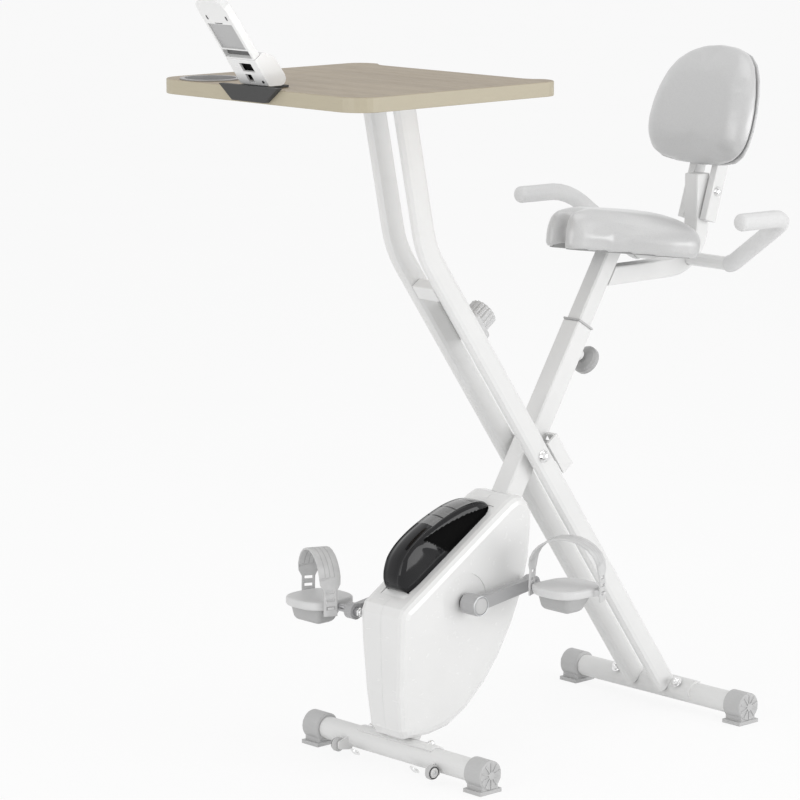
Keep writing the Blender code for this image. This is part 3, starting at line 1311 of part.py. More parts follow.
def seat_outline(scale=1.0):
    """The seat from above, clockwise: half widths along it, and a notch at the nose."""
    stations = [(0.000, 0.016), (0.004, 0.030), (0.018, 0.040), (0.040, 0.047), (0.070, 0.058), (0.100, 0.075),
                (0.130, 0.096), (0.160, 0.115), (0.190, 0.126), (0.210, 0.128), (0.224, 0.122), (0.232, 0.106),
                (0.236, 0.078)]
    length = SEAT_LENGTH / 0.236
    width = SEAT_HALF_WIDTH / 0.128
    side = [(s * length, h * width * scale) for s, h in stations]
    notch = [(0.010 * length, 0.010 * width), (0.024 * length, 0.0)]
    right = side + [(SEAT_LENGTH + 0.001, 0.040 * width), (SEAT_LENGTH + 0.002, 0.0)]
    left = [(s, -h) for s, h in reversed(right[:-1])]
    return right + left + [(notch[0][0], -notch[0][1]), notch[1], notch[0]]


def padded_body(name, outline, rings, spine):
    """A soft body from an outline, drawn towards a spine ring by ring at rising heights."""
    bm = bmesh.new()
    loops = []
    for shrink, height, lift in rings:
        loop = []
        for x, y in outline:
            cx = min(max(x, spine[0]), spine[1])
            cy = 0.0
            px = cx + (x - cx) * shrink
            py = cy + (y - cy) * shrink
            reach = hypot((x - cx) * shrink, (y - cy) * shrink)
            crown = lift * max(0.0, 1 - (reach / SEAT_HALF_WIDTH) ** 2)
            loop.append(bm.verts.new((px, py, height + crown)))
        loops.append(loop)
    for lower, upper in zip(loops, loops[1:]):
        for i in range(len(outline)):
            j = (i + 1) % len(outline)
            bm.faces.new((lower[i], lower[j], upper[j], upper[i]))
    bm.faces.new(list(reversed(loops[0])))
    bm.faces.new(loops[-1])
    bmesh.ops.remove_doubles(bm, verts=bm.verts, dist=0.00002)
    return to_mesh(name, bm)


def seat_cushion():
    """The saddle pad, wrapped round the edge of its pan: drawn-in sides and a crowned surface."""
    base = 0.001
    top = SEAT_THICK
    rings = [(0.93, base, 0), (0.975, base + 0.005, 0), (1.0, base + 0.020, 0), (0.995, base + 0.036, 0),
             (0.965, top - 0.003, 0), (0.935, top, 0), (0.88, top + 0.002, SEAT_CROWN * 0.55),
             (0.72, top + 0.003, SEAT_CROWN * 0.9), (0.5, top + 0.003, SEAT_CROWN), (0.25, top + 0.003, SEAT_CROWN)]
    mesh = padded_body("seat_cushion", seat_outline(), rings, (0.062, 0.176))
    cushion = finish("seat_cushion", mesh, paint("grey_vinyl", (0.55, 0.55, 0.54), 0.55), pan_frame(), 60)
    pocket = slab("pan_pocket", offset(pan_outline(), GAP), 2 * (PAN_THICK + GAP))
    return combine(cushion, "DIFFERENCE", pocket)


def pan_outline():
    """The pan's outline, cut back from the edge of the cushion."""
    return [(0.062 + (x - 0.062) * 0.86 if x < 0.062 else x * 0.97 if x > 0.2 else x, y * 0.86)
            for x, y in seat_outline()]


def seat_pan():
    """The stiff base let into the underside of the cushion."""
    mesh = slab("seat_pan", pan_outline(), PAN_THICK)
    mesh.transform(Matrix.Translation((0, 0, PAN_THICK / 2)))
    pan = finish("seat_pan", mesh, paint("black_plastic", (0.02, 0.02, 0.02)), pan_frame())
    return pan


def handle_path():
    """Half of the handlebar's centre line: out, up and round to the front, from the bike's middle."""
    corners = [(0, 0, 0), (0, GRIP_START, 0), (-HANDLE_SWEEP, HANDLE_HALF, HANDLE_RISE),
               (-HANDLE_FORWARD, HANDLE_HALF, HANDLE_RISE + 0.002)]
    return smooth_path(corners, (0.030, 0.040), 4)


def handlebar():
    """One bent steel tube that passes through the support and ends inside the two grips."""
    right = handle_path()[1:]
    right[-1] = right[-1] - (right[-1] - right[-2]).normalized() * GRIP_TIP
    left = [Vector((p.x, -p.y, p.z)) for p in reversed(right)]
    mesh = rod("handlebar", [tuple(p) for p in left + right], HANDLE_RADIUS, 3)
    place = Matrix.Translation(at(HANDLE_X, 0, HANDLE_Z))
    return finish("handlebar", mesh, paint("white_enamel", (0.86, 0.86, 0.85)), place, 60)


def grip(name, side):
    """A foam grip over one end of the handlebar, closed and rounded at its tip."""
    route = [Vector((p.x, side * p.y, p.z)) for p in handle_path()[1:]]
    place = Matrix.Translation(at(HANDLE_X, 0, HANDLE_Z))
    mesh = rod(name, [tuple(p) for p in route], GRIP_RADIUS, 4)
    tube = finish(name, mesh, paint("foam_grey", (0.45, 0.45, 0.46), 0.9), place, 60)
    bore = rod(name + "_bore", [tuple(p) for p in bar_route(route)], HANDLE_RADIUS + GAP, 3)
    combine(tube, "DIFFERENCE", bore)
    heading = (route[-1] - route[-2]).normalized()
    tip = dome_mesh(GRIP_RADIUS)
    tip.transform(Matrix.Translation(route[-1] - heading * 0.0004) @ heading.to_track_quat("Z", "Y").to_matrix().to_4x4())
    combine(tube, "UNION", tip)
    return tube


def bar_route(route):
    heading = (route[-1] - route[-2]).normalized()
    start = route[0] - (route[1] - route[0]).normalized() * 0.02
    return [start] + route[1:-1] + [route[-1] - heading * (GRIP_TIP - GAP)]


def dome_mesh(radius):
    profile = [(radius * cos(radians(a)), 0.55 * radius * sin(radians(a))) for a in (90, 60, 30, 0)]
    profile[0] = (0, 0.55 * radius)
    return turned("dome", profile + [(0, 0)], 20)


# Backrest
def back_frame():
    return leaning(BOLT_X, BOLT_Z, RAIL_LEAN)


def backrest_rail(name, side):
    middle = side * (RAIL_INNER + RAIL_WIDTH / 2)
    length = RAIL_BELOW + RAIL_ABOVE
    outline = rectangle(RAIL_DEPTH, RAIL_WIDTH, 0.002, (0, middle), 2)
    mesh = slab(name, outline, length)
    mesh.transform(Matrix.Translation((0, 0, length / 2 - RAIL_BELOW)))
    rail = finish(name, mesh, paint("white_enamel", (0.86, 0.86, 0.85)), back_frame())
    combine(rail, "DIFFERENCE", cylinder("bolt_bore", PIVOT_BOLT_RADIUS - 0.001 + GAP, 0.1, segments=20))
    return rail


def back_outline():
    """The backrest seen from the front: across, and up from its bottom edge."""
    half = BACK_WIDTH / 2
    right = [(0.0, 0.000), (0.45 * half, 0.001), (0.72 * half, 0.005), (0.88 * half, 0.016), (0.965 * half, 0.034),
             (half, 0.060), (0.985 * half, 0.090), (0.935 * half, 0.118), (0.85 * half, 0.145),
             (0.72 * half, 0.168), (0.54 * half, 0.184), (0.30 * half, 0.193), (0.0, 0.196)]
    tall = BACK_HEIGHT / 0.196
    right = [(x, y * tall) for x, y in right]
    return right + [(-x, y) for x, y in reversed(right[1:-1])]


def curved_pad(name, rings):
    """A pad built up forwards from the shell, each ring drawn in and bent round the back."""
    outline = back_outline()
    centre = Vector((0, BACK_HEIGHT * 0.47))
    bm = bmesh.new()
    loops = []
    for shrink, depth, crown in rings:
        loop = []
        for x, y in outline:
            px = x * shrink
            py = centre.y + (y - centre.y) * shrink
            bend = BACK_CURVE * (px / (BACK_WIDTH / 2)) ** 2
            swell = crown * max(0.0, 1 - shrink ** 2)
            loop.append(bm.verts.new((-(depth + bend + swell), px, BACK_BOTTOM + py)))
        loops.append(loop)
    widths = [ring[0] for ring in rings]
    for lower, upper, low_width, high_width in zip(loops, loops[1:], widths, widths[1:]):
        for i in range(len(outline)):
            j = (i + 1) % len(outline)
            if low_width <= high_width:
                triangles = ((lower[i], lower[j], upper[j]), (lower[i], upper[j], upper[i]))
            else:
                triangles = ((lower[i], lower[j], upper[i]), (lower[j], upper[j], upper[i]))
            for triangle in triangles:
                bm.faces.new(triangle)
    for ring, flip in ((loops[0], True), (loops[-1], False)):
        middle = bm.verts.new((ring[0].co.x, 0, sum(v.co.z for v in ring) / len(ring)))
        for i in range(len(ring)):
            j = (i + 1) % len(ring)
            bm.faces.new((ring[i], ring[j], middle) if not flip else (ring[j], ring[i], middle))
    return to_mesh(name, bm)


def backrest_shell():
    """The thin moulded shell between the rails and the cushion."""
    back = RAIL_DEPTH / 2 + GAP
    front = back + BACK_SHELL
    rings = [(0.10, back, 0), (0.40, back, 0), (0.70, back, 0), (0.955, back, 0), (1.0, back + 0.002, 0),
             (1.0, front - 0.001, 0), (0.99, front, 0), (0.955, front, 0), (0.70, front, 0), (0.40, front, 0),
             (0.10, front, 0)]
    mesh = curved_pad("backrest_shell", rings)
    return finish("backrest_shell", mesh, paint("grey_plastic", (0.5, 0.5, 0.5), 0.4), back_frame(), 50)


def backrest_cushion():
    """The padded front of the backrest, full and rounded, with a drawn-in edge at the shell."""
    back = RAIL_DEPTH / 2 + GAP + BACK_SHELL + GAP
    rings = [(0.10, back, 0), (0.40, back, 0), (0.70, back, 0), (0.955, back, 0), (0.98, back + 0.003, 0),
             (0.99, back + 0.012, 0), (0.985, back + 0.022, 0), (0.955, back + 0.032, 0.004), (0.90, back + 0.038, 0.006),
             (0.80, back + 0.041, 0.008), (0.60, back + 0.042, 0.008), (0.35, back + 0.042, 0.008), (0.12, back + 0.042, 0.008)]
    scale = BACK_THICK / 0.050
    rings = [(shrink, back + (depth - back) * scale, crown) for shrink, depth, crown in rings]
    mesh = curved_pad("backrest_cushion", rings)
    return finish("backrest_cushion", mesh, paint("grey_vinyl", (0.55, 0.55, 0.54)), back_frame(), 60)


def backrest_bolt():
    reach = RAIL_INNER + RAIL_WIDTH + GAP
    radius = PIVOT_BOLT_RADIUS - 0.001
    half = [(0, reach + 0.006), (0.005, reach + 0.0055), (0.0075, reach + 0.003), (0.0085, reach), (radius, reach)]
    profile = half + [(r, -h) for r, h in reversed(half)]
    matrix = back_frame() @ Matrix.Rotation(pi / 2, 4, "X")
    return finish("backrest_bolt", turned("backrest_bolt", profile, 20), paint("chrome", (0.8, 0.8, 0.8)), matrix)


# Desk
def desk_outline():
    """The desktop from above: rounded corners, nearly straight sides and a shallow recess for the rider."""
    corner = arc((DESK_FRONT + DESK_CORNER, DESK_FRONT_HALF - DESK_CORNER), DESK_CORNER, 180, 96, 7)
    start = DESK_FRONT + DESK_CORNER
    end = DESK_HORN - DESK_HORN_RADIUS
    side = []
    for k in range(1, 7):
        share = k / 7
        swell = (DESK_HALF - DESK_FRONT_HALF) * sin(share * pi / 2)
        side.append((start + (end - start) * share, DESK_FRONT_HALF + swell))
    horn = arc((end, DESK_HALF - DESK_HORN_RADIUS), DESK_HORN_RADIUS, 84, 0, 7)
    inner = DESK_HALF - DESK_HORN_WIDTH
    tip = [(DESK_HORN, inner), (DESK_HORN - 0.006, inner - 0.008)]
    recess = [(DESK_RECESS + 0.004, inner - 0.013), (DESK_RECESS, inner - 0.028)]
    right = corner + side + horn + tip + recess
    left = [(x, -y) for x, y in reversed(right)]
    return (right + left)[::-1]


def desktop():
    mesh = slab("desktop", desk_outline(), DESK_THICK)
    place = Matrix.Translation(at(0, 0, DESK_TOP_Z - DESK_THICK / 2))
    top = finish("desktop", mesh, paint("oak_laminate", (0.50, 0.42, 0.32), 0.5), place)
    bevelled(top, DESK_EDGE, 1, 60)
    pocket = cylinder("cup_pocket", CUP_RADIUS + GAP, 0.05, (CUP_X, CUP_Y, 0), "Z", 32)
    combine(top, "DIFFERENCE", pocket)
    return top


def cup_holder():
    """A shallow round tray let into the rider's front right corner."""
    top = DESK_TOP_Z + 0.002
    low = top - CUP_DEPTH
    inner = CUP_RADIUS - CUP_WALL
    profile = [(0, low), (inner - 0.003, low), (inner, low + 0.003), (inner, top), (CUP_RADIUS + 0.004, top),
               (CUP_RADIUS + 0.004, DESK_TOP_Z + GAP), (CUP_RADIUS, DESK_TOP_Z + GAP), (CUP_RADIUS, low - CUP_WALL),
               (0, low - CUP_WALL)]
    place = Matrix.Translation(at(CUP_X, CUP_Y, 0))
    tray = turned("cup_holder", profile, 32)
    return finish("cup_holder", tray, paint("dark_grey_plastic", (0.07, 0.065, 0.065), 0.45), place)


def post_top_x():
    return leg_path()[2].x


def channel_bottom():
    return DESK_TOP_Z - DESK_THICK - GAP - CHANNEL_DEPTH


def desk_rails():
    """The steel channel under the desktop, whose lips hold the head plate."""
    half = CHANNEL_WIDTH / 2
    top = CHANNEL_DEPTH
    outline = [(-half, 0), (-half, top), (half, top), (half, 0), (half - CHANNEL_LIP, 0), (half - CHANNEL_LIP, CHANNEL_WALL),
               (half - CHANNEL_WALL, CHANNEL_WALL), (half - CHANNEL_WALL, top - CHANNEL_WALL),
               (-half + CHANNEL_WALL, top - CHANNEL_WALL), (-half + CHANNEL_WALL, CHANNEL_WALL),
               (-half + CHANNEL_LIP, CHANNEL_WALL), (-half + CHANNEL_LIP, 0)]
    mesh = plate("desk_rails", outline, CHANNEL_LENGTH)
    mesh.transform(Matrix.Rotation(pi / 2, 4, "Z"))
    middle = DESK_FRONT + RAIL_SET_BACK + CHANNEL_LENGTH / 2
    place = Matrix.Translation(at(middle, 0, channel_bottom()))
    return finish("desk_rails", mesh, paint("white_enamel", (0.86, 0.86, 0.85)), place)


def desk_head():
    """The plate welded on the rear tubes that slides inside the channel."""
    inside = CHANNEL_DEPTH - 2 * CHANNEL_WALL - 2 * RUN_GAP
    bottom = channel_bottom() + CHANNEL_WALL + RUN_GAP
    x = post_top_x()
    length = HEAD_AHEAD + HEAD_BEHIND
    width = CHANNEL_WIDTH - 2 * CHANNEL_WALL - 2 * RUN_GAP
    middle = x - HEAD_AHEAD + length / 2
    place = Matrix.Translation(at(middle, 0, bottom))
    mesh = box("desk_head", (length, width, inside), (0, 0, inside / 2))
    head = finish("desk_head", mesh, paint("white_enamel", (0.86, 0.86, 0.85)), place)
    opening = CHANNEL_WIDTH - 2 * CHANNEL_LIP - 2 * RUN_GAP
    low = head_bottom() - bottom
    neck = box("neck", (0.062, opening - 0.006, 0.002 - low), (x - middle, 0, (low + 0.002) / 2))
    combine(head, "UNION", neck)
    floor_thick = 0.004
    pocket = box("pocket", (length - 0.008, width - 0.008, inside), (0, 0, floor_thick + inside / 2))
    combine(head, "DIFFERENCE", pocket)
    return head


# Console
def console_frame():
    """Frame at the foot of the console's back: local Z leans forward, local X faces the rider."""
    return leaning(DESK_FRONT + CONSOLE_SET_BACK, DESK_TOP_Z + CONSOLE_FOOT, -CONSOLE_LEAN)


def console_base():
    """The black bracket that clips round the front edge of the desktop and carries the console."""
    rise = CONSOLE_FOOT - GAP
    outline = [(-BASE_BOTTOM_HALF, -BASE_DROP), (BASE_BOTTOM_HALF, -BASE_DROP), (BASE_TOP_HALF, rise), (-BASE_TOP_HALF, rise)]
    mesh = facing_x(plate("console_base", outline, BASE_THICK))
    place = Matrix.Translation(at(DESK_FRONT - GAP - BASE_THICK / 2, 0, DESK_TOP_Z))
    base = finish("console_base", mesh, paint("black_plastic", (0.02, 0.02, 0.02)), place)
    shelf = box("shelf", (0.050, CONSOLE_WIDTH - 0.008, rise - GAP), (BASE_THICK / 2 + 0.020, 0, (rise + GAP) / 2))
    combine(base, "UNION", shelf)
    return base


def console_corners(wall=0.0):
    """Corners of the console's side profile, with its foot level with the desk; or of its cavity."""
    depth, height = CONSOLE_DEPTH, CONSOLE_HEIGHT
    corners = [(0, 0), (depth, -depth * tan(CONSOLE_LEAN)), (depth * 0.97, height * 0.62), (depth * 0.60, height),
               (0, height)]
    return offset(corners, wall) if wall else corners


def console_housing():
    """The white console body, hollow, with a window and a slot in its back."""
    frame = console_frame()
    profile = rounded(console_corners(), [0.002, 0.010, 0.016, 0.006, 0.002], 4)
    mesh = plate("console_housing", profile, CONSOLE_WIDTH)
    body = finish("console_housing", mesh, paint("white_gloss", (0.88, 0.88, 0.87)), frame)
    bevelled(body, 0.003, 2, 60)
    combine(body, "DIFFERENCE", plate("cavity", console_corners(CONSOLE_WALL), CONSOLE_WIDTH - 2 * CONSOLE_WALL))
    combine(body, "DIFFERENCE",
            box("window", (0.02, 0.026, 0.016), (0, -0.005, 0.033)),
            box("slot", (0.02, 0.013, 0.016), (0, 0.002, 0.012)))
    lens = box("lens_seat", (0.012, LENS_WIDTH + 2 * GAP, LENS_HEIGHT + 2 * GAP))
    combine(body, "DIFFERENCE", lens, matrix=face_frame(LENS_UP))
    button = box("button_hole", (0.012, BUTTON_WIDTH + 2 * RUN_GAP, BUTTON_HEIGHT + 2 * RUN_GAP))
    combine(body, "DIFFERENCE", button, matrix=face_frame(BUTTON_UP))
    return body


def face_frame(up):
    """Frame on the flat face of the console that the rider sees, at a height along it."""
    low, high = (Vector(p) for p in console_corners()[1:3])
    spot = low.lerp(high, (up - low.y) / (high.y - low.y))
    tilt = atan2(high.x - low.x, high.y - low.y)
    return console_frame() @ Matrix.Translation((spot.x, 0, spot.y)) @ Matrix.Rotation(tilt, 4, "Y")


def phone_stand():
    """The tall plate above the console that a phone leans on, rounded at its top."""
    half = CONSOLE_WIDTH / 2
    outline = [(-half, 0), (half, 0)] + arc((half - 0.018, PHONE_HEIGHT - 0.018), 0.018, 0, 90, 5)
    outline += arc((-half + 0.018, PHONE_HEIGHT - 0.018), 0.018, 90, 180, 5)
    mesh = facing_x(plate("phone_stand", outline, PHONE_THICK))
    place = console_frame() @ Matrix.Translation((PHONE_THICK / 2, 0, CONSOLE_HEIGHT + GAP))
    stand = finish("phone_stand", mesh, paint("white_gloss", (0.88, 0.88, 0.87)), place)
    bevelled(stand, 0.0025, 2, 60)
    recess = box("recess", (0.006, CONSOLE_WIDTH - 0.010, 0.046), (-PHONE_THICK / 2, 0, 0.042))
    strip = box("strip", (0.014, CONSOLE_WIDTH - 0.006, 0.014), (-PHONE_THICK / 2, 0, 0.010))
    combine(stand, "DIFFERENCE", recess, strip)
    return stand


def console_lens():
    mesh = box("console_lens", (0.002, LENS_WIDTH, LENS_HEIGHT))
    place = face_frame(LENS_UP) @ Matrix.Translation((-0.0015, 0, 0))
    return finish("console_lens", mesh, paint("lcd_green", (0.24, 0.35, 0.29), 0.15), place)


def reset_button():
    mesh = box("reset_button", (0.005, BUTTON_WIDTH, BUTTON_HEIGHT))
    place = face_frame(BUTTON_UP)
    button = finish("reset_button", mesh, paint("red_plastic", (0.55, 0.02, 0.02), 0.4), place)
    bevelled(button, 0.001, 2)
    ride(joint_empty("button_axis", place.translation), button)
    return button


def build_front_frame():
    front_tube()
    tube = stabilizer("front_stabilizer", -FRONT_REACH)
    add_wheel_carriers(tube)
    open_tube(tube)
    end_cap("front_cap_left", -FRONT_REACH, -1)
    end_cap("front_cap_right", -FRONT_REACH, 1)
    transport_wheel("wheel_left", -1)
    transport_wheel("wheel_right", 1)
    housing_half("housing_left", -1)
    housing_half("housing_right", 1)
    flywheel_cover()
    post_bushing()
    height_knob()
    drive_belt()
    magnet_bracket()
    crank_bearing("crank_bearing_left", -1)
    crank_bearing("crank_bearing_right", 1)


def build_drive():
    axis = joint_empty("crank_axis", at(-CRANK_AHEAD, 0, -CRANK_BELOW))
    ride(axis, crank_axle(), drive_pulley(), crank_arm("crank_arm_left", -1), crank_arm("crank_arm_right", 1),
         pedal_spindle("pedal_spindle_left", -1), pedal_spindle("pedal_spindle_right", 1))
    for side, word in ((-1, "left"), (1, "right")):
        pedal("pedal_" + word, side)
        pedal_strap("strap_" + word, side)
    wheel_axis = joint_empty("flywheel_axis", at(-FLYWHEEL_AHEAD, 0, -FLYWHEEL_BELOW))
    ride(wheel_axis, flywheel(), flywheel_axle())


def build_rear_frame():
    axis = joint_empty("fold_axis", at(0, 0, 0))
    tube = stabilizer("rear_stabilizer", REAR_REACH)
    add_rear_saddle(tube)
    open_tube(tube)
    items = [rear_tube("rear_tube_left", -1), rear_tube("rear_tube_right", 1), crossbar(), bridge_plate(), tube,
             end_cap("rear_cap_left", REAR_REACH, -1), end_cap("rear_cap_right", REAR_REACH, 1), stop_bracket(),
             stop_bumper(), pivot_bolt(), tension_base(), desk_head()]
    ride(axis, *items)
    tension_knob()


def build_seat():
    slide = joint_empty("seat_slide", at(0, 0, 0))
    ride(slide, seat_post(), back_support(), seat_pan(), seat_cushion(), handlebar(), grip("grip_left", -1),
         grip("grip_right", 1))
    hinge = joint_empty("backrest_axis", at(BOLT_X, 0, BOLT_Z))
    ride(hinge, backrest_rail("backrest_rail_left", -1), backrest_rail("backrest_rail_right", 1), backrest_shell(),
         backrest_cushion(), backrest_bolt())


def build_desk():
    slide = joint_empty("desk_slide", at(post_top_x(), 0, DESK_TOP_Z))
    ride(slide, desktop(), cup_holder(), desk_rails(), console_base(), console_housing(), phone_stand(), console_lens())
    reset_button()


def main():
    clear_scene()
    new_collection(PARTS_NAME)
    new_collection(CUTTERS_NAME)
    build_front_frame()
    build_drive()
    build_rear_frame()
    build_seat()
    build_desk()
    bpy.context.view_layer.update()


if __name__ == "__main__":
    main()
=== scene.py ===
from math import atan2, copysign, cos, exp, radians, sin

import bpy
from bpy.props import FloatProperty, FloatVectorProperty, IntProperty, PointerProperty
from bpy.types import Operator, Panel, PropertyGroup
from mathutils import Matrix, Vector


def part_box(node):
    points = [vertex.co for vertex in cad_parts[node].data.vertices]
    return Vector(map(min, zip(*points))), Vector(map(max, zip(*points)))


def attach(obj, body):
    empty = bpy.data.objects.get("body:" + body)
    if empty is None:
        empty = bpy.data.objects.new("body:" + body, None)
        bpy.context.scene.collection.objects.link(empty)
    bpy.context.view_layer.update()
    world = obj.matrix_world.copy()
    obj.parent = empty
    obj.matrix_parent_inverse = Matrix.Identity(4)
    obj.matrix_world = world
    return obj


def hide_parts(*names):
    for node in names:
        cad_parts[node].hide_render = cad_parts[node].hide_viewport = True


bl_info = {
    "name": "Desk exercise bike",
    "version": (1, 0, 0),
    "blender": (4, 5, 0),
    "location": "3D View > Sidebar > Bike",
    "description": "Finishes and soft pieces for a folding exercise bike with a desktop",
    "category": "Object",
}

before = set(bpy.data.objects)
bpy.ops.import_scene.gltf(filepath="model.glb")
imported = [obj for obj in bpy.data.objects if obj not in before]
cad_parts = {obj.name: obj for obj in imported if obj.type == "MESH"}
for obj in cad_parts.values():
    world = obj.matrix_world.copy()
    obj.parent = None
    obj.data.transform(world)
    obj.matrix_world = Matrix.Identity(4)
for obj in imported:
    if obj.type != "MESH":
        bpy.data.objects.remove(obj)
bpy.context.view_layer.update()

# The bolt that the bike's two pairs of legs turn on, and the camera's place from there
PIVOT = (0.08175, 0, 0.465)
CAMERA_FROM_PIVOT = (-3.9184, -3.9525, 1.0928)
# Slants of the backrest and the console, and the turn of the straps on the pedals
BACKREST_SLANT = radians(18)
CONSOLE_SLANT = radians(36)
STRAP_TURN = radians(24)
# The two sides of the bike, along y
SIDES = ((-1, "left"), (1, "right"))


def tint(name, description, default):
    """A colour that the user can change."""
    return FloatVectorProperty(name=name, description=description, default=default, subtype="COLOR",
                               min=0, max=1)


def span(name, description, default):
    """A length that the user can change."""
    return FloatProperty(name=name, description=description, default=default, unit="LENGTH",
                         subtype="DISTANCE", min=0)


def clip(value):
    """A number held between 0 and 1."""
    return min(1, max(0, value))


class BikeColours(PropertyGroup):
    """The bike's palette"""
    enamel: tint("Enamel", "Powder coat on the steel tubes", (0.77, 0.77, 0.765))
    shell: tint("Shell", "Moulded housing and console", (0.785, 0.785, 0.78))
    hood: tint("Hood", "Glossy hood over the flywheel", (0.006, 0.006, 0.007))
    vinyl: tint("Vinyl", "Cover of the saddle and the backrest", (0.52, 0.52, 0.52))
    foam: tint("Foam", "Sleeves on the two handles", (0.69, 0.69, 0.69))
    laminate: tint("Laminate", "Top of the desk", (0.300, 0.236, 0.150))
    laminate_vein: tint("Laminate vein", "Darker lines of the grain", (0.240, 0.181, 0.110))
    edge_band: tint("Edge band", "Strip round the edge of the desk", (0.456, 0.409, 0.304))
    tray: tint("Tray", "Round cup tray", (0.34, 0.335, 0.335))
    cap: tint("Cap", "End caps and feet", (0.52, 0.52, 0.52))
    pedal: tint("Pedal", "Pedals", (0.68, 0.68, 0.68))
    strap: tint("Strap", "Straps over the feet", (0.60, 0.60, 0.60))
    crank: tint("Crank", "Painted crank arms", (0.40, 0.40, 0.405))
    knob: tint("Knob", "Tension knob and its base", (0.60, 0.60, 0.60))
    black: tint("Black plastic", "Console bracket and small trim", (0.008, 0.008, 0.009))


class BikeSizes(PropertyGroup):
    """Sizes of the pieces and patterns that the scene adds"""
    grain: span("Vinyl grain", "Size of one pebble of the vinyl", 0.0014)
    peel: span("Orange peel", "Size of the ripples in the powder coat", 0.0022)
    saddle_swell: span("Saddle swell", "Most that the saddle's cover may bulge", 0.004)
    back_swell: span("Backrest swell", "Most that the backrest's cover may bulge", 0.005)
    valley: span("Valley width", "Half width of the valley between the saddle's lobes", 0.008)
    notch: span("Valley depth", "Depth of the valley in the saddle's nose", 0.012)
    voxel: span("Cushion mesh", "Spacing of the points on a cushion", 0.004)
    shoulder: span("Cushion shoulder", "How far the cushions' faces fall towards their outlines", 0.012)
    foot_radius: span("Foot radius", "Distance of a nut from the middle of its foot's tube", 0.0225)
    nut: span("Nut", "Half width of a cap nut", 0.0068)
    hood_half: span("Hood half width", "Half the width of the hood", 0.028)
    hood_wall: span("Hood wall", "Thickness of the hood's wall", 0.003)
    settle: IntProperty(name="Settling steps", description="Steps of the cushions' inflation",
                        default=20, min=1)


# Shader helpers
class Wire:
    """One value in a node tree: arithmetic on it adds Math nodes."""

    def __init__(self, tree, socket):
        self.tree = tree
        self.socket = socket

    def work(self, operation, *values):
        node = self.tree.nodes.new("ShaderNodeMath")
        node.operation = operation
        for slot, value in zip(node.inputs, values):
            feed(self.tree, slot, value)
        return Wire(self.tree, node.outputs[0])

    def __add__(self, other):
        return self.work("ADD", self, other)

    def __sub__(self, other):
        return self.work("SUBTRACT", self, other)

    def __rsub__(self, other):
        return self.work("SUBTRACT", other, self)

    def __mul__(self, other):
        return self.work("MULTIPLY", self, other)

    def __abs__(self):
        return self.work("ABSOLUTE", self)

    __radd__ = __add__
    __rmul__ = __mul__


def feed(tree, slot, value):
    """Links a value into a socket, or sets the socket to a plain number or colour."""
    if isinstance(value, Wire):
        tree.links.new(value.socket, slot)
    elif isinstance(value, (tuple, list, Vector)) and slot.type == "RGBA" and len(value) == 3:
        slot.default_value = (*value, 1)
    else:
        slot.default_value = value


class Finish:
    """A material under construction, around one Principled shader."""

    def __init__(self, name):
        self.material = bpy.data.materials.new(name)
        self.material.use_nodes = True
        self.tree = self.material.node_tree
        self.shader = self.tree.nodes["Principled BSDF"]
        self.place = self.node("ShaderNodeTexCoord", output="Object")

    def node(self, kind, settings=None, output=0, **values):
        """Adds a node. Its sockets are named, or numbered as _0, _1 and so on."""
        made = self.tree.nodes.new(kind)
        for key, value in (settings or {}).items():
            setattr(made, key, value)
        for key, value in values.items():
            slot = made.inputs[int(key[1:])] if key[0] == "_" else made.inputs[key.replace("_", " ")]
            feed(self.tree, slot, value)
        return Wire(self.tree, made.outputs[output])

    def noise(self, scale, detail=2.0, roughness=0.5, place=None):
        """Soft noise, with its scale in lumps per metre."""
        return self.node("ShaderNodeTexNoise", Vector=place or self.place, Scale=scale, Detail=detail,
                         Roughness=roughness)

    def stretched(self, scale):
        """The place on the piece, scaled along each axis."""
        return self.node("ShaderNodeMapping", Vector=self.place, Scale=scale)

    def step(self, value, low, high, to_low=0.0, to_high=1.0):
        """A smooth step from to_low to to_high while a value goes from low to high."""
        return self.node("ShaderNodeMapRange", {"interpolation_type": "SMOOTHSTEP"}, _0=value, _1=low,
                         _2=high, _3=to_low, _4=to_high)

    def mix(self, factor, first, second):
        """A blend of two colours."""
        return self.node("ShaderNodeMix", {"data_type": "RGBA"}, output=2, _0=factor, _6=first, _7=second)

    def tone(self, mask, low, high, colour, first, second):
        """A colour that goes from one shade of it to another as a mask goes from low to high."""
        return self.mix(self.step(mask, low, high), shade(colour, first), shade(colour, second))

    def bump(self, height, distance, strength):
        """A normal that a height tilts, with the height of 1 given in metres."""
        return self.node("ShaderNodeBump", Height=height, Distance=distance, Strength=strength)

    def axes(self, vector):
        """A vector's three numbers."""
        split = self.tree.nodes.new("ShaderNodeSeparateXYZ")
        feed(self.tree, split.inputs[0], vector)
        return [Wire(self.tree, out) for out in split.outputs]

    def done(self, **values):
        """Feeds the shader's sockets and gives the material."""
        for key, value in values.items():
            feed(self.tree, self.shader.inputs[key.replace("_", " ")], value)
        return self.material


def shade(colour, amount):
    """A colour made lighter or darker."""
    return tuple(min(1.0, c * amount) for c in colour)


def powder_coat(name, colour, peel):
    """Baked enamel: fine ripples, and a faint unevenness of tone and gloss."""
    m = Finish(name)
    ripple = m.noise(1 / peel, 2)
    cloud = m.noise(14, 3)
    tone = m.tone(cloud, 0.35, 0.65, colour, 0.985, 1.01)
    return m.done(Base_Color=tone, Roughness=m.step(cloud, 0.3, 0.7, 0.42, 0.50),
                  Normal=m.bump(ripple, 0.00006, 0.5), Coat_Weight=0.1, Coat_Roughness=0.15)


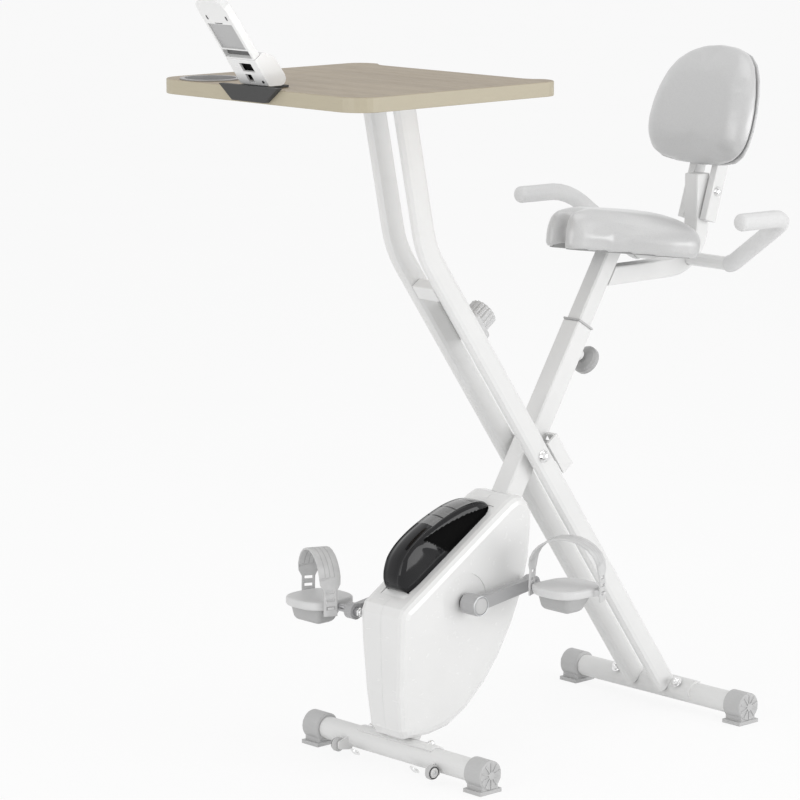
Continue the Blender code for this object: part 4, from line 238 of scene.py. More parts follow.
def moulded_gloss(name, colour, roughness, coat=0.4, shine=0.5):
    """Injection-moulded plastic: a slow waviness under a polished skin, and faint rub marks."""
    m = Finish(name)
    wave = m.noise(45, 1)
    rub = m.noise(110, 2, 0.5, m.stretched((1, 0.25, 1)))
    tone = m.tone(m.noise(9, 2), 0.35, 0.65, colour, 0.985, 1.01)
    return m.done(Base_Color=tone, Roughness=m.step(rub, 0.45, 0.75, roughness, roughness + 0.04),
                  Normal=m.bump(wave, 0.00003, 0.2), Coat_Weight=coat, Coat_Roughness=0.06,
                  Specular_IOR_Level=shine)


def textured_plastic(name, colour, roughness, shine=0.5):
    """Plastic with a spark-eroded grain."""
    m = Finish(name)
    grain = m.noise(1500, 3, 0.6)
    cloud = m.noise(30, 2)
    tone = m.tone(grain + cloud * 0.4, 0.5, 0.95, colour, 0.93, 1.05)
    return m.done(Base_Color=tone, Roughness=m.step(cloud, 0.3, 0.7, roughness - 0.05, roughness + 0.05),
                  Normal=m.bump(grain, 0.00005, 0.6), Specular_IOR_Level=shine)


def pebbled_vinyl(name, colour, grain):
    """Synthetic leather: rounded pebbles with fine creases between them."""
    m = Finish(name)
    warp = m.noise(0.25 / grain, 2)
    pebbles = m.node("ShaderNodeTexVoronoi", {"feature": "SMOOTH_F1"}, Vector=m.place, Scale=1 / grain,
                     Smoothness=0.4)
    fine = m.noise(2.5 / grain, 2)
    height = (1 - pebbles) * 0.7 + fine * 0.2 + warp * 0.3
    tone = m.tone(pebbles, 0.25, 0.75, colour, 1.02, 0.955)
    return m.done(Base_Color=tone, Roughness=m.step(pebbles, 0.2, 0.8, 0.34, 0.44),
                  Normal=m.bump(height, 0.00012, 0.45), Coat_Weight=1.0, Coat_Roughness=0.36, Coat_IOR=1.9)


def closed_foam(name, colour):
    """Dense foam rubber: a dull skin with tiny open cells."""
    m = Finish(name)
    cells = m.node("ShaderNodeTexVoronoi", Vector=m.place, Scale=1100)
    haze = m.noise(120, 3)
    tone = m.tone(cells + haze * 0.5, 0.3, 0.9, colour, 0.93, 1.04)
    return m.done(Base_Color=tone, Roughness=m.step(haze, 0.3, 0.7, 0.55, 0.68),
                  Normal=m.bump(cells, 0.00012, 0.5))


def bare_metal(name, colour, roughness, grit=900, draw=(1, 1, 1)):
    """Plated or turned steel with fine drawn marks."""
    m = Finish(name)
    marks = m.noise(grit, 3, 0.6, m.stretched(draw))
    tone = m.tone(marks, 0.35, 0.7, colour, 0.9, 1)
    return m.done(Base_Color=tone, Metallic=1.0,
                  Roughness=m.step(marks, 0.3, 0.75, roughness, roughness + 0.1),
                  Normal=m.bump(marks, 0.00002, 0.3))


def rough_iron(name, colour):
    """Cast iron: a dark and pitted skin."""
    m = Finish(name)
    pits = m.noise(420, 5, 0.7)
    tone = m.tone(pits, 0.4, 0.7, colour, 0.8, 1.2)
    return m.done(Base_Color=tone, Metallic=0.8, Roughness=m.step(pits, 0.3, 0.7, 0.45, 0.65),
                  Normal=m.bump(pits, 0.0002, 0.6))


def oak_laminate(name, top, vein, band):
    """Printed oak: long pores and soft heart lines across the desk, and a plain banded edge."""
    m = Finish(name)
    level = abs(m.axes(m.node("ShaderNodeTexCoord", output="Normal"))[2])
    bend = m.noise(3.2, 2, 0.5, m.stretched((1.0, 0.35, 1)))
    x, y = m.axes(m.place)[:2]
    rings = m.noise(34, 3, 0.55, m.node("ShaderNodeCombineXYZ", _0=x + bend * 0.07, _1=y * 0.05, _2=0.0))
    pores = m.noise(900, 2, 0.6, m.stretched((1, 0.035, 1)))
    drift = m.noise(5, 2)
    wood = m.mix(m.step(rings, 0.36, 0.66), vein, top)
    wood = m.mix(m.step(drift, 0.35, 0.7) * 0.35, wood, shade(top, 1.06))
    wood = m.mix(m.step(pores, 0.58, 0.74) * 0.45, wood, shade(vein, 0.82))
    edge = m.mix(m.step(pores, 0.5, 0.75) * 0.4, band, shade(band, 0.88))
    tone = m.mix(m.step(level, 0.6, 0.85), edge, wood)
    return m.done(Base_Color=tone, Roughness=m.step(pores, 0.4, 0.75, 0.40, 0.52),
                  Normal=m.bump(1 - m.step(pores, 0.55, 0.75), 0.00005, 0.5))


def soft_rubber(name, colour, roughness=0.6):
    """Dull rubber with a faint bloom."""
    m = Finish(name)
    bloom = m.noise(60, 4)
    grain = m.noise(1300, 2)
    tone = m.tone(bloom, 0.35, 0.7, colour, 0.94, 1.04)
    return m.done(Base_Color=tone, Roughness=m.step(bloom, 0.3, 0.7, roughness - 0.06, roughness + 0.06),
                  Normal=m.bump(grain, 0.00004, 0.5))


def ribbed_rubber(name, colour):
    """Soft strap rubber with grooves along it, darkened with painted shade: the attribute counts metres
    from its middle line.
    """
    m = Finish(name)
    place = m.node("ShaderNodeAttribute", {"attribute_name": "across"}, output=2)
    groove = 0
    for line in (-0.0075, 0.0, 0.0075):
        groove = groove + (1 - m.step(abs(place - line), 0.0002, 0.0006))
    bloom = m.noise(60, 4)
    tone = m.tone(bloom, 0.35, 0.7, colour, 0.94, 1.04)
    # Painted shade: the grooves are darkened to under half the rubber's tone
    tone = m.mix(groove * 0.5, tone, shade(colour, 0.45))
    return m.done(Base_Color=tone, Roughness=m.step(bloom, 0.3, 0.7, 0.5, 0.6),
                  Normal=m.bump(1 - groove, 0.0005, 0.8))


def display_glass(name, colour):
    """A reflective liquid crystal behind a clear window: faint cell rows."""
    m = Finish(name)
    rows = m.node("ShaderNodeTexWave", {"wave_type": "BANDS", "bands_direction": "Y"}, Vector=m.place,
                  Scale=260)
    tone = m.tone(rows, 0.2, 0.9, colour, 0.93, 1)
    return m.done(Base_Color=tone, Roughness=m.step(m.noise(90, 2), 0.3, 0.7, 0.12, 0.2), Coat_Weight=0.6)


def sizes():
    """The sizes that the user can change."""
    return bpy.context.scene.bike_sizes


def finish_named(name):
    """A finish from the bike's palette, made the first time that it is asked for."""
    if name in bpy.data.materials:
        return bpy.data.materials[name]
    c = bpy.context.scene.bike_colours
    makers = {
        "enamel": (powder_coat, tuple(c.enamel), sizes().peel),
        "shell": (moulded_gloss, tuple(c.shell), 0.24),
        "hood_gloss": (moulded_gloss, tuple(c.hood), 0.08, 0.1, 0.28),
        "vinyl": (pebbled_vinyl, tuple(c.vinyl), sizes().grain),
        "foam": (closed_foam, tuple(c.foam)),
        "oak": (oak_laminate, tuple(c.laminate), tuple(c.laminate_vein), tuple(c.edge_band)),
        "tray": (textured_plastic, tuple(c.tray), 0.4),
        "cap_plastic": (textured_plastic, tuple(c.cap), 0.5),
        "wheel_plastic": (textured_plastic, (0.55, 0.55, 0.55), 0.45),
        "pedal_plastic": (textured_plastic, tuple(c.pedal), 0.48),
        "strap_rubber": (soft_rubber, tuple(c.strap)),
        "crank_paint": (powder_coat, tuple(c.crank), 0.0016),
        "knob_plastic": (textured_plastic, tuple(c.knob), 0.42),
        "height_knob_plastic": (moulded_gloss, (0.40, 0.40, 0.40), 0.3, 0.3),
        "black_plastic": (textured_plastic, tuple(c.black), 0.45, 0.15),
        "black_rubber": (soft_rubber, (0.02, 0.02, 0.02), 0.7),
        "chrome": (bare_metal, (0.80, 0.80, 0.80), 0.10),
        "zinc": (bare_metal, (0.62, 0.63, 0.64), 0.28),
        "turned_steel": (bare_metal, (0.55, 0.55, 0.56), 0.3, 700, (1, 6, 1)),
        "iron": (rough_iron, (0.10, 0.10, 0.105)),
        "grey_shell": (textured_plastic, (0.60, 0.60, 0.60), 0.5),
        "pan_plastic": (textured_plastic, (0.32, 0.32, 0.32), 0.5),
        "collar_plastic": (textured_plastic, (0.50, 0.50, 0.50), 0.5),
        "vent_dark": (textured_plastic, (0.004, 0.004, 0.004), 0.9, 0.06),
        # Grey of the hood's crown panels: painted reflection, on louvre inserts
        "vent_grey": (moulded_gloss, (0.17, 0.17, 0.17), 0.25, 0.2),
        **{"strap_rubber_" + word: (ribbed_rubber, tuple(c.strap)) for _, word in SIDES},
        # A darker copy of the pedal's grey for the body under the platform: painted shade
        "pedal_under": (textured_plastic, shade(tuple(c.pedal), 0.66), 0.5),
        # Dark grey for the back of the stand's deep slot: painted shade
        "strip_grey": (textured_plastic, (0.12, 0.12, 0.12), 0.5),
        "gloss_black": (moulded_gloss, tuple(c.black), 0.12, 0.5),
        "display": (display_glass, (0.25, 0.38, 0.32)),
        "red_plastic": (moulded_gloss, (0.52, 0.02, 0.02), 0.3),
        "recess_grey": (textured_plastic, (0.45, 0.45, 0.45), 0.5),
    }
    maker, *values = makers[name]
    return maker(name, *values)


# The finish of each CAD node. A name that ends in an underscore stands for a left and a right node.
NODE_FINISH = {
    "enamel": ("seat_tube", "front_stabilizer", "rear_stabilizer", "seat_post", "back_support",
               "handlebar", "backrest_rail_", "rear_tube_", "upper_crossbar", "bridge_plate",
               "stop_bracket", "desk_head", "desk_rails"),
    "shell": ("housing_", "console_housing", "phone_stand"),
    "hood_gloss": ("flywheel_cover",),
    "oak": ("desktop",),
    "tray": ("cup_holder",),
    "cap_plastic": ("front_cap_", "rear_cap_"),
    "wheel_plastic": ("wheel_",),
    "pedal_plastic": ("pedal_",),
    "strap_rubber": ("strap_",),
    "crank_paint": ("crank_arm_",),
    "knob_plastic": ("tension_knob", "tension_base"),
    "height_knob_plastic": ("height_knob",),
    "black_plastic": ("console_base", "drive_pulley"),
    "pan_plastic": ("seat_pan",),
    "collar_plastic": ("post_bushing",),
    "black_rubber": ("stop_bumper", "drive_belt"),
    "chrome": ("pivot_bolt", "backrest_bolt"),
    "zinc": ("magnet_bracket",),
    "turned_steel": ("flywheel_axle", "crank_axle", "crank_bearing_", "pedal_spindle_"),
    "iron": ("flywheel",),
    "grey_shell": ("backrest_shell",),
    "display": ("console_lens",),
    "red_plastic": ("reset_button",),
    "vinyl": ("seat_cushion", "backrest_cushion"),
    "foam": ("grip_",),
}


# Modelling helpers
def rest():
    """Object mode, with nothing selected."""
    if bpy.context.object and bpy.context.object.mode != "OBJECT":
        bpy.ops.object.mode_set(mode="OBJECT")
    bpy.ops.object.select_all(action="DESELECT")


def hold(piece):
    """Selects one piece alone and makes it the active one."""
    rest()
    piece.select_set(True)
    bpy.context.view_layer.objects.active = piece


def edit_all(piece, *steps):
    """Runs mesh operators on the whole of a piece."""
    hold(piece)
    bpy.ops.object.mode_set(mode="EDIT")
    bpy.ops.mesh.select_all(action="SELECT")
    for operator, settings in steps:
        operator(**settings)
    bpy.ops.object.mode_set(mode="OBJECT")


def named(name):
    """Names the piece that was just added, and its mesh."""
    piece = bpy.context.object
    piece.name = name
    piece.data.name = name
    return piece


def add_modifier(piece, kind, **settings):
    """Adds a modifier to a piece and applies it."""
    modifier = piece.modifiers.new(kind.lower(), kind)
    for key, value in settings.items():
        setattr(modifier, key, value)
    hold(piece)
    bpy.ops.object.modifier_apply(modifier=modifier.name)
    return piece


def bake(piece):
    """Moves a piece's place, turn and scale into its mesh."""
    hold(piece)
    bpy.ops.object.transform_apply(location=True, rotation=True, scale=True)
    return piece


def bevel(piece, width, segments, angle=None):
    """Breaks a piece's edges, from an angle in degrees where one is given."""
    limit = {"limit_method": "ANGLE", "angle_limit": radians(angle)} if angle else {}
    return add_modifier(piece, "BEVEL", width=width, segments=segments, **limit)


def settle(piece, body, finish, slot, angle, replaces=()):
    """Bakes a piece's place into its mesh, gives it its finish and hangs it on its body."""
    bake(piece)
    bpy.ops.object.shade_smooth_by_angle(angle=radians(angle))
    piece.data.materials.clear()
    piece.data.materials.append(finish_named(finish))
    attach(piece, body)
    if replaces:
        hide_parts(*replaces)
    return piece


def block(name, location=(0, 0, 0)):
    """A cube of one metre, to be shaped."""
    rest()
    bpy.ops.mesh.primitive_cube_add(size=1, location=location)
    return named(name)


def middle_of(node):
    """The middle of a CAD node's box."""
    low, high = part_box(node)
    return (low + high) / 2


def face_of(node, side):
    """The middle of the left or the right face of a CAD node's box."""
    low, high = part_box(node)
    middle = (low + high) / 2
    middle.y = low.y if side < 0 else high.y
    return middle


def merged_copy(name, node, flatten=False):
    """A copy of a CAD solid with its loose triangles joined, and merged into flat faces if asked."""
    piece = bpy.data.objects.new(name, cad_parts[node].data.copy())
    piece.data.name = name
    bpy.context.scene.collection.objects.link(piece)
    steps = [(bpy.ops.mesh.remove_doubles, {"threshold": 0.00002})]
    if flatten:
        steps.append((bpy.ops.mesh.dissolve_limited, {"angle_limit": radians(1)}))
    edit_all(piece, *steps)
    return piece


def soft_copy(name, node, voxel):
    """An evenly remeshed copy of a solid."""
    piece = merged_copy(name, node)
    return add_modifier(piece, "REMESH", mode="VOXEL", voxel_size=voxel, use_smooth_shade=True)


def eased_copy(name, node, voxel):
    """A remeshed copy of a solid with its edges eased."""
    return add_modifier(soft_copy(name, node, voxel), "SMOOTH", factor=0.5, iterations=12)


def pinned_group(piece, test):
    """A vertex group of the points that pass a test, and its name."""
    group = piece.vertex_groups.new(name="held")
    group.add([v.index for v in piece.data.vertices if test(v.co)], 1.0, "REPLACE")
    return group.name


def smooth_free(piece, held, iterations):
    """Evens a cover out, except where it is held."""
    return add_modifier(piece, "SMOOTH", factor=0.5, iterations=iterations, vertex_group=held,
                        invert_vertex_group=True)


def inflate(piece, held, pressure, cap):
    """Fills a cover with air for a moment, keeps its held points, and limits how far the rest moves."""
    before = [v.co.copy() for v in piece.data.vertices]
    cloth = piece.modifiers.new("cover", "CLOTH")
    fabric = cloth.settings
    fabric.use_pressure = True
    fabric.uniform_pressure_force = pressure
    fabric.effector_weights.gravity = 0
    fabric.vertex_group_mass = held
    fabric.mass = 0.4
    fabric.tension_stiffness = 25
    fabric.bending_stiffness = 4
    cloth.point_cache.frame_start = 1
    cloth.point_cache.frame_end = sizes().settle
    for step in range(1, sizes().settle + 1):
        bpy.context.scene.frame_set(step)
    hold(piece)
    bpy.ops.object.modifier_apply(modifier=cloth.name)
    for vertex, start in zip(piece.data.vertices, before):
        move = vertex.co - start
        if move.length > cap:
            vertex.co = start + move.normalized() * cap
    bpy.context.scene.frame_set(1)
    return piece


def stuff(piece, held, swell, shape, body, node):
    """Fills a cushion's cover, shapes it, and puts it in its CAD solid's place."""
    smooth_free(piece, held, 6)
    inflate(piece, held, 4.0, swell)
    smooth_free(piece, held, 8)
    shape(piece)
    smooth_free(piece, held, 3)
    add_modifier(piece, "SUBSURF", levels=1, render_levels=1)
    settle(piece, body, "vinyl", "grey_vinyl", 180, (node,))


# Stage
def lamp(name, location, target, energy, width, height):
    """A rectangular soft box that faces a point."""
    bpy.ops.object.light_add(type="AREA", location=location)
    light = bpy.context.object
    light.name = name
    light.rotation_euler = (Vector(target) - Vector(location)).to_track_quat("-Z", "Y").to_euler()
    light.data.energy = energy
    light.data.shape = "RECTANGLE"
    light.data.size = width
    light.data.size_y = height


def seen_ray(tree):
    """1 where a ray comes from the camera, a reflection or clear glass, 0 for the object's own light."""
    path = tree.nodes.new("ShaderNodeLightPath")
    seen = Wire(tree, path.outputs["Is Camera Ray"])
    for ray in ("Is Glossy Ray", "Is Transmission Ray"):
        seen = seen.work("MAXIMUM", seen, Wire(tree, path.outputs[ray]))
    return seen


def pale_surround():
    """A soft grey sky for the object's light, seen as white behind it and in its reflections."""
    world = bpy.data.worlds.new("studio")
    bpy.context.scene.world = world
    world.use_nodes = True
    ground = world.node_tree.nodes["Background"]
    ground.inputs["Color"].default_value = (1, 1, 1, 1)
    feed(world.node_tree, ground.inputs["Strength"], seen_ray(world.node_tree) * 0.36 + 0.64)


def pale_floor():
    """A white floor that glows faintly to the camera, so that it meets the sky and keeps its shadows."""
    m = Finish("pale_floor")
    white = m.mix(m.step(m.noise(2, 3), 0.3, 0.7), (0.90, 0.90, 0.90), (0.92, 0.92, 0.92))
    m.done(Base_Color=white, Roughness=0.9)
    glow = m.node("ShaderNodeEmission", Color=(1, 1, 1), Strength=1.0)
    blend = m.node("ShaderNodeMixShader", _0=seen_ray(m.tree) * 0.86,
                   _1=Wire(m.tree, m.shader.outputs[0]), _2=glow)
    feed(m.tree, m.tree.nodes["Material Output"].inputs["Surface"], blend)
    return m.material


class BIKE_OT_stage(Operator):
    """Adds the floor, the studio light and the camera"""
    bl_idname = "bike.stage"
    bl_label = "Stage"

    def execute(self, context):
        pale_surround()
        rest()
        bpy.ops.mesh.primitive_plane_add(size=60, location=(0, 0, -0.0005))
        floor = named("floor")
        floor.data.materials.append(pale_floor())
        lamp("near_side", (1.7, -4.5, 1.2), (0.1, 0, 0.6), 92, 4.0, 2.4)
        lamp("front", (-4.0, -0.4, 1.6), (0, 0, 0.6), 44, 2.4, 2.4)
        lamp("overhead", (0.2, -0.4, 4.2), (0, 0, 0.5), 26, 3.0, 3.0)
        camera = bpy.data.objects.new("camera", bpy.data.cameras.new("camera"))
        context.scene.collection.objects.link(camera)
        camera.location = [pivot + offset for pivot, offset in zip(PIVOT, CAMERA_FROM_PIVOT)]
        camera.rotation_euler = (radians(90 - 10.27), 0, radians(-42.72))
        camera.data.lens = 160.07
        camera.data.sensor_width = 36
        camera.data.clip_end = 100  # metres, past the floor's far edge
        context.scene.camera = camera
        context.scene.view_settings.view_transform = "Standard"
        return {"FINISHED"}


class BIKE_OT_finishes(Operator):
    """Gives each rigid node of the bike its finish"""
    bl_idname = "bike.finishes"
    bl_label = "Finishes"

    def execute(self, context):
        for finish, nodes in NODE_FINISH.items():
            for node in nodes:
                for end in ("left", "right") if node.endswith("_") else ("",):
                    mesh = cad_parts[node + end].data
                    mesh.materials.clear()
                    mesh.materials.append(finish_named(finish))
        return {"FINISHED"}


class BIKE_OT_saddle(Operator):
    """Makes the saddle's stuffed cover"""
    bl_idname = "bike.saddle"
    bl_label = "Saddle"

    low = high = None

    def execute(self, context):
        self.low, self.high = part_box("seat_cushion")
        seam = 0.009
        piece = soft_copy("saddle_cover", "seat_cushion", sizes().voxel)
        held = pinned_group(piece, lambda co: co.z < self.rim(co) + seam)
        stuff(piece, held, sizes().saddle_swell, self.shape, "seat", "seat_cushion")
        return {"FINISHED"}

    def rim(self, co):
        """Height of the saddle's underside, which falls from its nose to its rear."""
        fall = 0.0267
        share = (co.x - self.low.x) / (self.high.x - self.low.x)
        return self.low.z + (1 - share) * fall

    def shape(self, piece):
        """Gives the filled cover its rounded top and its two lobes."""
        self.round_top(piece)
        self.part_lobes(piece)

    def round_top(self, piece):
        """Lets the saddle's top fall away towards its sides and its nose, above its skirt."""
        band, nose, flat = 0.008, 0.030, 0.35
        skirt, fade = 0.016, 0.030
        reach = {}
        for vertex in piece.data.vertices:
            slot = round(vertex.co.x / band)
            reach[slot] = max(reach.get(slot, 0), abs(vertex.co.y))
        for vertex in piece.data.vertices:
            co = vertex.co
            slot = round(co.x / band)
            half = max(reach[slot], reach.get(slot - 1, 0) * 0.9, reach.get(slot + 1, 0) * 0.9)
            share = max(abs(co.y) / half, (nose - (co.x - self.low.x)) / nose)
            fall = clip((share - flat) / (1 - flat)) ** 2
            lift = clip((co.z - self.rim(co) - skirt) / fade)
            co.z -= sizes().shoulder * fall * lift

    def part_lobes(self, piece):
        """Presses the valley between the two lobes of the nose, deep in front and fading along the top."""
        front, back, crease = 0.022, 0.05, 0.005
        for vertex in piece.data.vertices:
            co = vertex.co
            ahead = co.x - self.low.x
            valley = exp(-(co.y / sizes().valley) ** 2)
            co.x += sizes().notch * valley * exp(-(ahead / front) ** 2)
            upper = clip((co.z - self.low.z - 0.045) / 0.02)
            co.z -= crease * valley * exp(-(ahead / back) ** 2) * upper


class BIKE_OT_backrest(Operator):
    """Makes the backrest's stuffed cover"""
    bl_idname = "bike.backrest"
    bl_label = "Backrest"

    rear = None

    def execute(self, context):
        self.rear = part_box("backrest_shell")[1]
        seam = 0.010
        piece = soft_copy("backrest_cover", "backrest_cushion", sizes().voxel)
        held = pinned_group(piece, lambda co: self.depth(co) > -seam)
        stuff(piece, held, sizes().back_swell, self.round_front, "backrest", "backrest_cushion")
        shell = eased_copy("backrest_back", "backrest_shell", 0.0016)
        settle(shell, "backrest", "grey_shell", "grey_plastic", 180, ("backrest_shell",))
        return {"FINISHED"}

    def round_front(self, piece):
        """Curves the cushion's front back towards its outline, and fills its rear lip out to the shell."""
        half_width, half_height, flat, filling = 0.112, 0.099, 0.50, 0.030
        middle = middle_of("backrest_cushion")
        back = Vector((cos(BACKREST_SLANT), 0, -sin(BACKREST_SLANT)))
        up = Vector((sin(BACKREST_SLANT), 0, cos(BACKREST_SLANT)))
        for vertex in piece.data.vertices:
            offset = vertex.co - middle
            across, rise = offset.y, offset.dot(up)
            share = ((abs(across) / half_width) ** 3 + (abs(rise) / half_height) ** 3) ** (1 / 3)
            fall = clip((share - flat) / (1 - flat)) ** 2
            front = clip((-self.depth(vertex.co) - 0.022) / 0.020)
            vertex.co += back * (sizes().shoulder * fall * front)
            lip = clip((self.depth(vertex.co) + 0.024) / 0.012) * clip((share - 0.7) / 0.2)
            vertex.co += (Vector((0, across, 0)) + up * rise) * (filling * lip)

    def depth(self, co):
        """How far a point lies behind the backrest's rear face, in the backrest's own slant."""
        return (co.x - self.rear.x) * cos(BACKREST_SLANT) - (co.z - self.rear.z) * sin(BACKREST_SLANT)


class BIKE_OT_grips(Operator):
    """Makes the foam sleeves on the two handles"""
    bl_idname = "bike.grips"
    bl_label = "Grips"

    def execute(self, context):
        for _, word in SIDES:
            node = "grip_" + word
            piece = eased_copy(word + "_foam_sleeve", node, 0.0018)
            settle(piece, "seat", "foam", "foam_grey", 180, (node,))
        return {"FINISHED"}


# The hood's crown: distance along the chord from its foot, and height over the chord
HOOD_CROWN = ((0.012, 0.000), (0.008, 0.008), (0.008, 0.017), (0.013, 0.029), (0.023, 0.040),
              (0.038, 0.050), (0.060, 0.0555), (0.085, 0.0565), (0.110, 0.0545), (0.140, 0.0495),
              (0.170, 0.042), (0.195, 0.0315), (0.212, 0.020), (0.222, 0.009), (0.2242, 0.000))
# Half of the hood's section, from its edge: share of the half width, and share of the height
HOOD_SECTION = ((1.0, 0.0), (0.995, 0.25), (0.955, 0.52), (0.89, 0.73), (0.80, 0.865), (0.72, 0.925),
                (0.66, 0.945), (0.58, 0.930), (0.45, 0.945), (0.30, 0.970), (0.15, 0.982), (0.0, 0.985))
# The share of that half section that is a flank
HOOD_FLANK = 0.5455
# The ends of the hood's chord, the chord, and the way out of the housing from it
HOOD_FOOT = Vector((-0.20225, 0, 0.2764))
HOOD_TOP = Vector((-0.01225, 0, 0.3954))
HOOD_CHORD = HOOD_TOP - HOOD_FOOT
HOOD_OUT = Vector((-HOOD_CHORD.z, 0, HOOD_CHORD.x)).normalized()
# The grey panels on the crown, partly louvre inserts and partly painted reflection of the lamps: their
# shares of the hood's length, and how far across it they reach
HOOD_REFLECTION_PANELS = ((0.58, 0.63), (0.64, 0.70), (0.71, 0.80))
REFLECTION_PANEL_HALF = 0.44


class BIKE_OT_hood(Operator):
    """Makes the black hood over the flywheel, with its ridges and the vents in its flanks"""
    bl_idname = "bike.hood"
    bl_label = "Hood"

    rows = 150
    columns = 120

    def execute(self, context):
        rest()
        bpy.ops.mesh.primitive_grid_add(x_subdivisions=self.rows, y_subdivisions=self.columns, size=2)
        piece = named("hood")
        shares = {}
        for vertex in piece.data.vertices:
            along, across = (vertex.co.x + 1) / 2, vertex.co.y
            shares[vertex.index] = (along, across)
            vertex.co = self.place(along, across)
        panels = [self.finish_of([shares[i] for i in face.vertices]) for face in piece.data.polygons]
        edit_all(piece, (bpy.ops.mesh.normals_make_consistent, {"inside": False}))
        if sum(face.normal.dot(HOOD_OUT) * face.area for face in piece.data.polygons) < 0:
            piece.data.flip_normals()
        settle(piece, "front_frame", "hood_gloss", "black_gloss", 28, ("flywheel_cover",))
        # The hood's other finishes: the dark vents, and the grey crown panels that paint a reflection
        for finish in ("vent_dark", "vent_grey"):
            piece.data.materials.append(finish_named(finish))
        for face, index in zip(piece.data.polygons, panels):
            face.material_index = index
        add_modifier(piece, "SOLIDIFY", thickness=sizes().hood_wall, offset=-1)
        self.add_ledge()
        return {"FINISHED"}

    def add_ledge(self):
        """The white ledge in the housing that the hood stands on."""
        depth, thickness = 0.0020, 0.0022
        piece = block("hood_ledge", (HOOD_FOOT + HOOD_TOP) / 2 - HOOD_OUT * depth)
        piece.rotation_euler = (0, -atan2(HOOD_CHORD.z, HOOD_CHORD.x), 0)
        piece.scale = (HOOD_CHORD.length, 2 * sizes().hood_half, thickness)
        bevel(bake(piece), 0.0006, 2)
        settle(piece, "front_frame", "shell", "white_gloss", 35)

    def finish_of(self, corners):
        """Number of a face's finish: 1 in a vent and on its edge, 2 on a grey panel of painted reflection,
        0 elsewhere.
        """
        if any(self.vent(*corner) > 0 for corner in corners):
            return 1
        along, across = (sum(share) / len(corners) for share in zip(*corners))
        if abs(across) < REFLECTION_PANEL_HALF and any(start < along < end for start, end in HOOD_REFLECTION_PANELS):
            return 2
        return 0

    def rise(self, across):
        """How far up its flank a point of the hood lies: 0 at the edge, 1 where the top begins."""
        return (1 - abs(across)) / HOOD_FLANK

    def lean(self, rise):
        """How far a vent's front edge leans towards the foot at a height of the flank."""
        return 0.08 * rise / 0.6

    def vent(self, along, across):
        """1 in the vent in each flank, 0 outside it, with a sharp lip between them."""
        front, taper, length, edge = 0.58, 0.50, 0.44, 0.985
        rise = self.rise(across)
        top = 0.66 * clip(1 - (along - taper) / length) ** 0.7
        lip = min((top - rise) / 0.05, (along - front + self.lean(rise)) / 0.010)
        return clip(lip) if abs(across) < edge else 0

    def fin(self, along, across):
        """How far the lip in front of a vent stands out, from 0 to 1."""
        crest, width = 0.548, 0.022
        rise = self.rise(across)
        return exp(-((along - crest + self.lean(rise)) / width) ** 2) * clip((0.75 - rise) / 0.2)

    def place(self, along, across):
        """The point of the hood at a share of its length and a share of its half section."""
        vent_depth, fin_height = 0.0045, 0.0008
        foot_curve, foot_width, top_curve, top_width = 0.042, 0.72, 0.030, 0.40
        whole = HOOD_CHORD.length
        distance, height = self.curve(HOOD_CROWN, along * (len(HOOD_CROWN) - 1))
        width, rise = self.curve(HOOD_SECTION, (1 - abs(across)) * (len(HOOD_SECTION) - 1))
        base = min(max(distance, HOOD_CROWN[0][0]), whole)
        reach = base + (distance - base) * rise
        sunk = vent_depth * self.vent(along, across) - fin_height * self.fin(along, across)
        ends = clip(min((reach - HOOD_CROWN[1][0]) / foot_curve, (whole - reach) / top_curve))
        least = foot_width if reach < whole / 2 else top_width
        plan = least + (1 - least) * (1 - (1 - ends) ** 2) ** 0.5
        half = sizes().hood_half * width * plan - sunk
        side = Vector((0, half if across > 0 else -half, 0))
        return HOOD_FOOT + HOOD_CHORD.normalized() * reach + HOOD_OUT * (height * rise) + side

    def curve(self, points, step):
        """A point on a smooth curve through evenly numbered points."""
        i = min(int(step), len(points) - 2)
        t = step - i
        p = [Vector(points[min(max(i + k, 0), len(points) - 1)]) for k in (-1, 0, 1, 2)]
        spot = p[1] * 2 + (p[2] - p[0]) * t + (p[0] * 2 - p[1] * 5 + p[2] * 4 - p[3]) * t ** 2
        return (spot + (p[1] * 3 - p[0] - p[2] * 3 + p[3]) * t ** 3) / 2


# Small hardware
def aim(piece, direction):
    """Turns a piece so that its z axis lies along a direction."""
    piece.rotation_euler = Vector(direction).to_track_quat("Z", "Y").to_euler()
    return piece


def drum(name, radius, length, centre, direction, edge, sides=32):
    """A round or many-sided block along a direction, with its edges broken."""
    rest()
    bpy.ops.mesh.primitive_cylinder_add(vertices=sides, radius=radius, depth=length, location=centre)
    return bevel(bake(aim(named(name), direction)), edge, 3, 40)


def dome(name, radius, centre, direction, flat):
    """A low dome on the end of a fastener."""
    rest()
    bpy.ops.mesh.primitive_uv_sphere_add(segments=28, ring_count=14, radius=radius, location=centre)
    piece = aim(named(name), direction)
    piece.scale = (1, 1, flat)
    return bake(piece)


def bead(name, radius, thickness, centre, direction, segments):
    """A thin ring round a direction."""
    rest()
    bpy.ops.mesh.primitive_torus_add(location=centre, major_radius=radius, minor_radius=thickness,
                                     major_segments=segments, minor_segments=10)
    return aim(named(name), direction)


def joined_piece(name, parts):
    """Several pieces made one."""
    rest()
    for part in parts:
        part.select_set(True)
    bpy.context.view_layer.objects.active = parts[0]
    bpy.ops.object.join()
    return named(name)


def cap_nut(name, base, out, size):
    """A chromed cap nut on its washer, standing on a point along a direction."""
    out = out.normalized()
    washer = drum(name, size * 1.35, size * 0.22, base + out * size * 0.11, out, size * 0.06)
    nut = drum("hexagon", size, size * 0.75, base + out * size * 0.6, out, size * 0.09, 6)
    cap = dome("cap", size * 0.78, base + out * size * 0.95, out, 0.85)
    return joined_piece(name, [washer, nut, cap])


def bolt_head(name, base, out):
    """The end of a bolt: a low dome on its washer."""
    washer = drum(name + "_washer", 0.0088, 0.0016, base + out * 0.0008, out, 0.0004)
    head = dome("head", 0.0062, base + out * 0.0018, out, 0.45)
    return joined_piece(name, [washer, head])


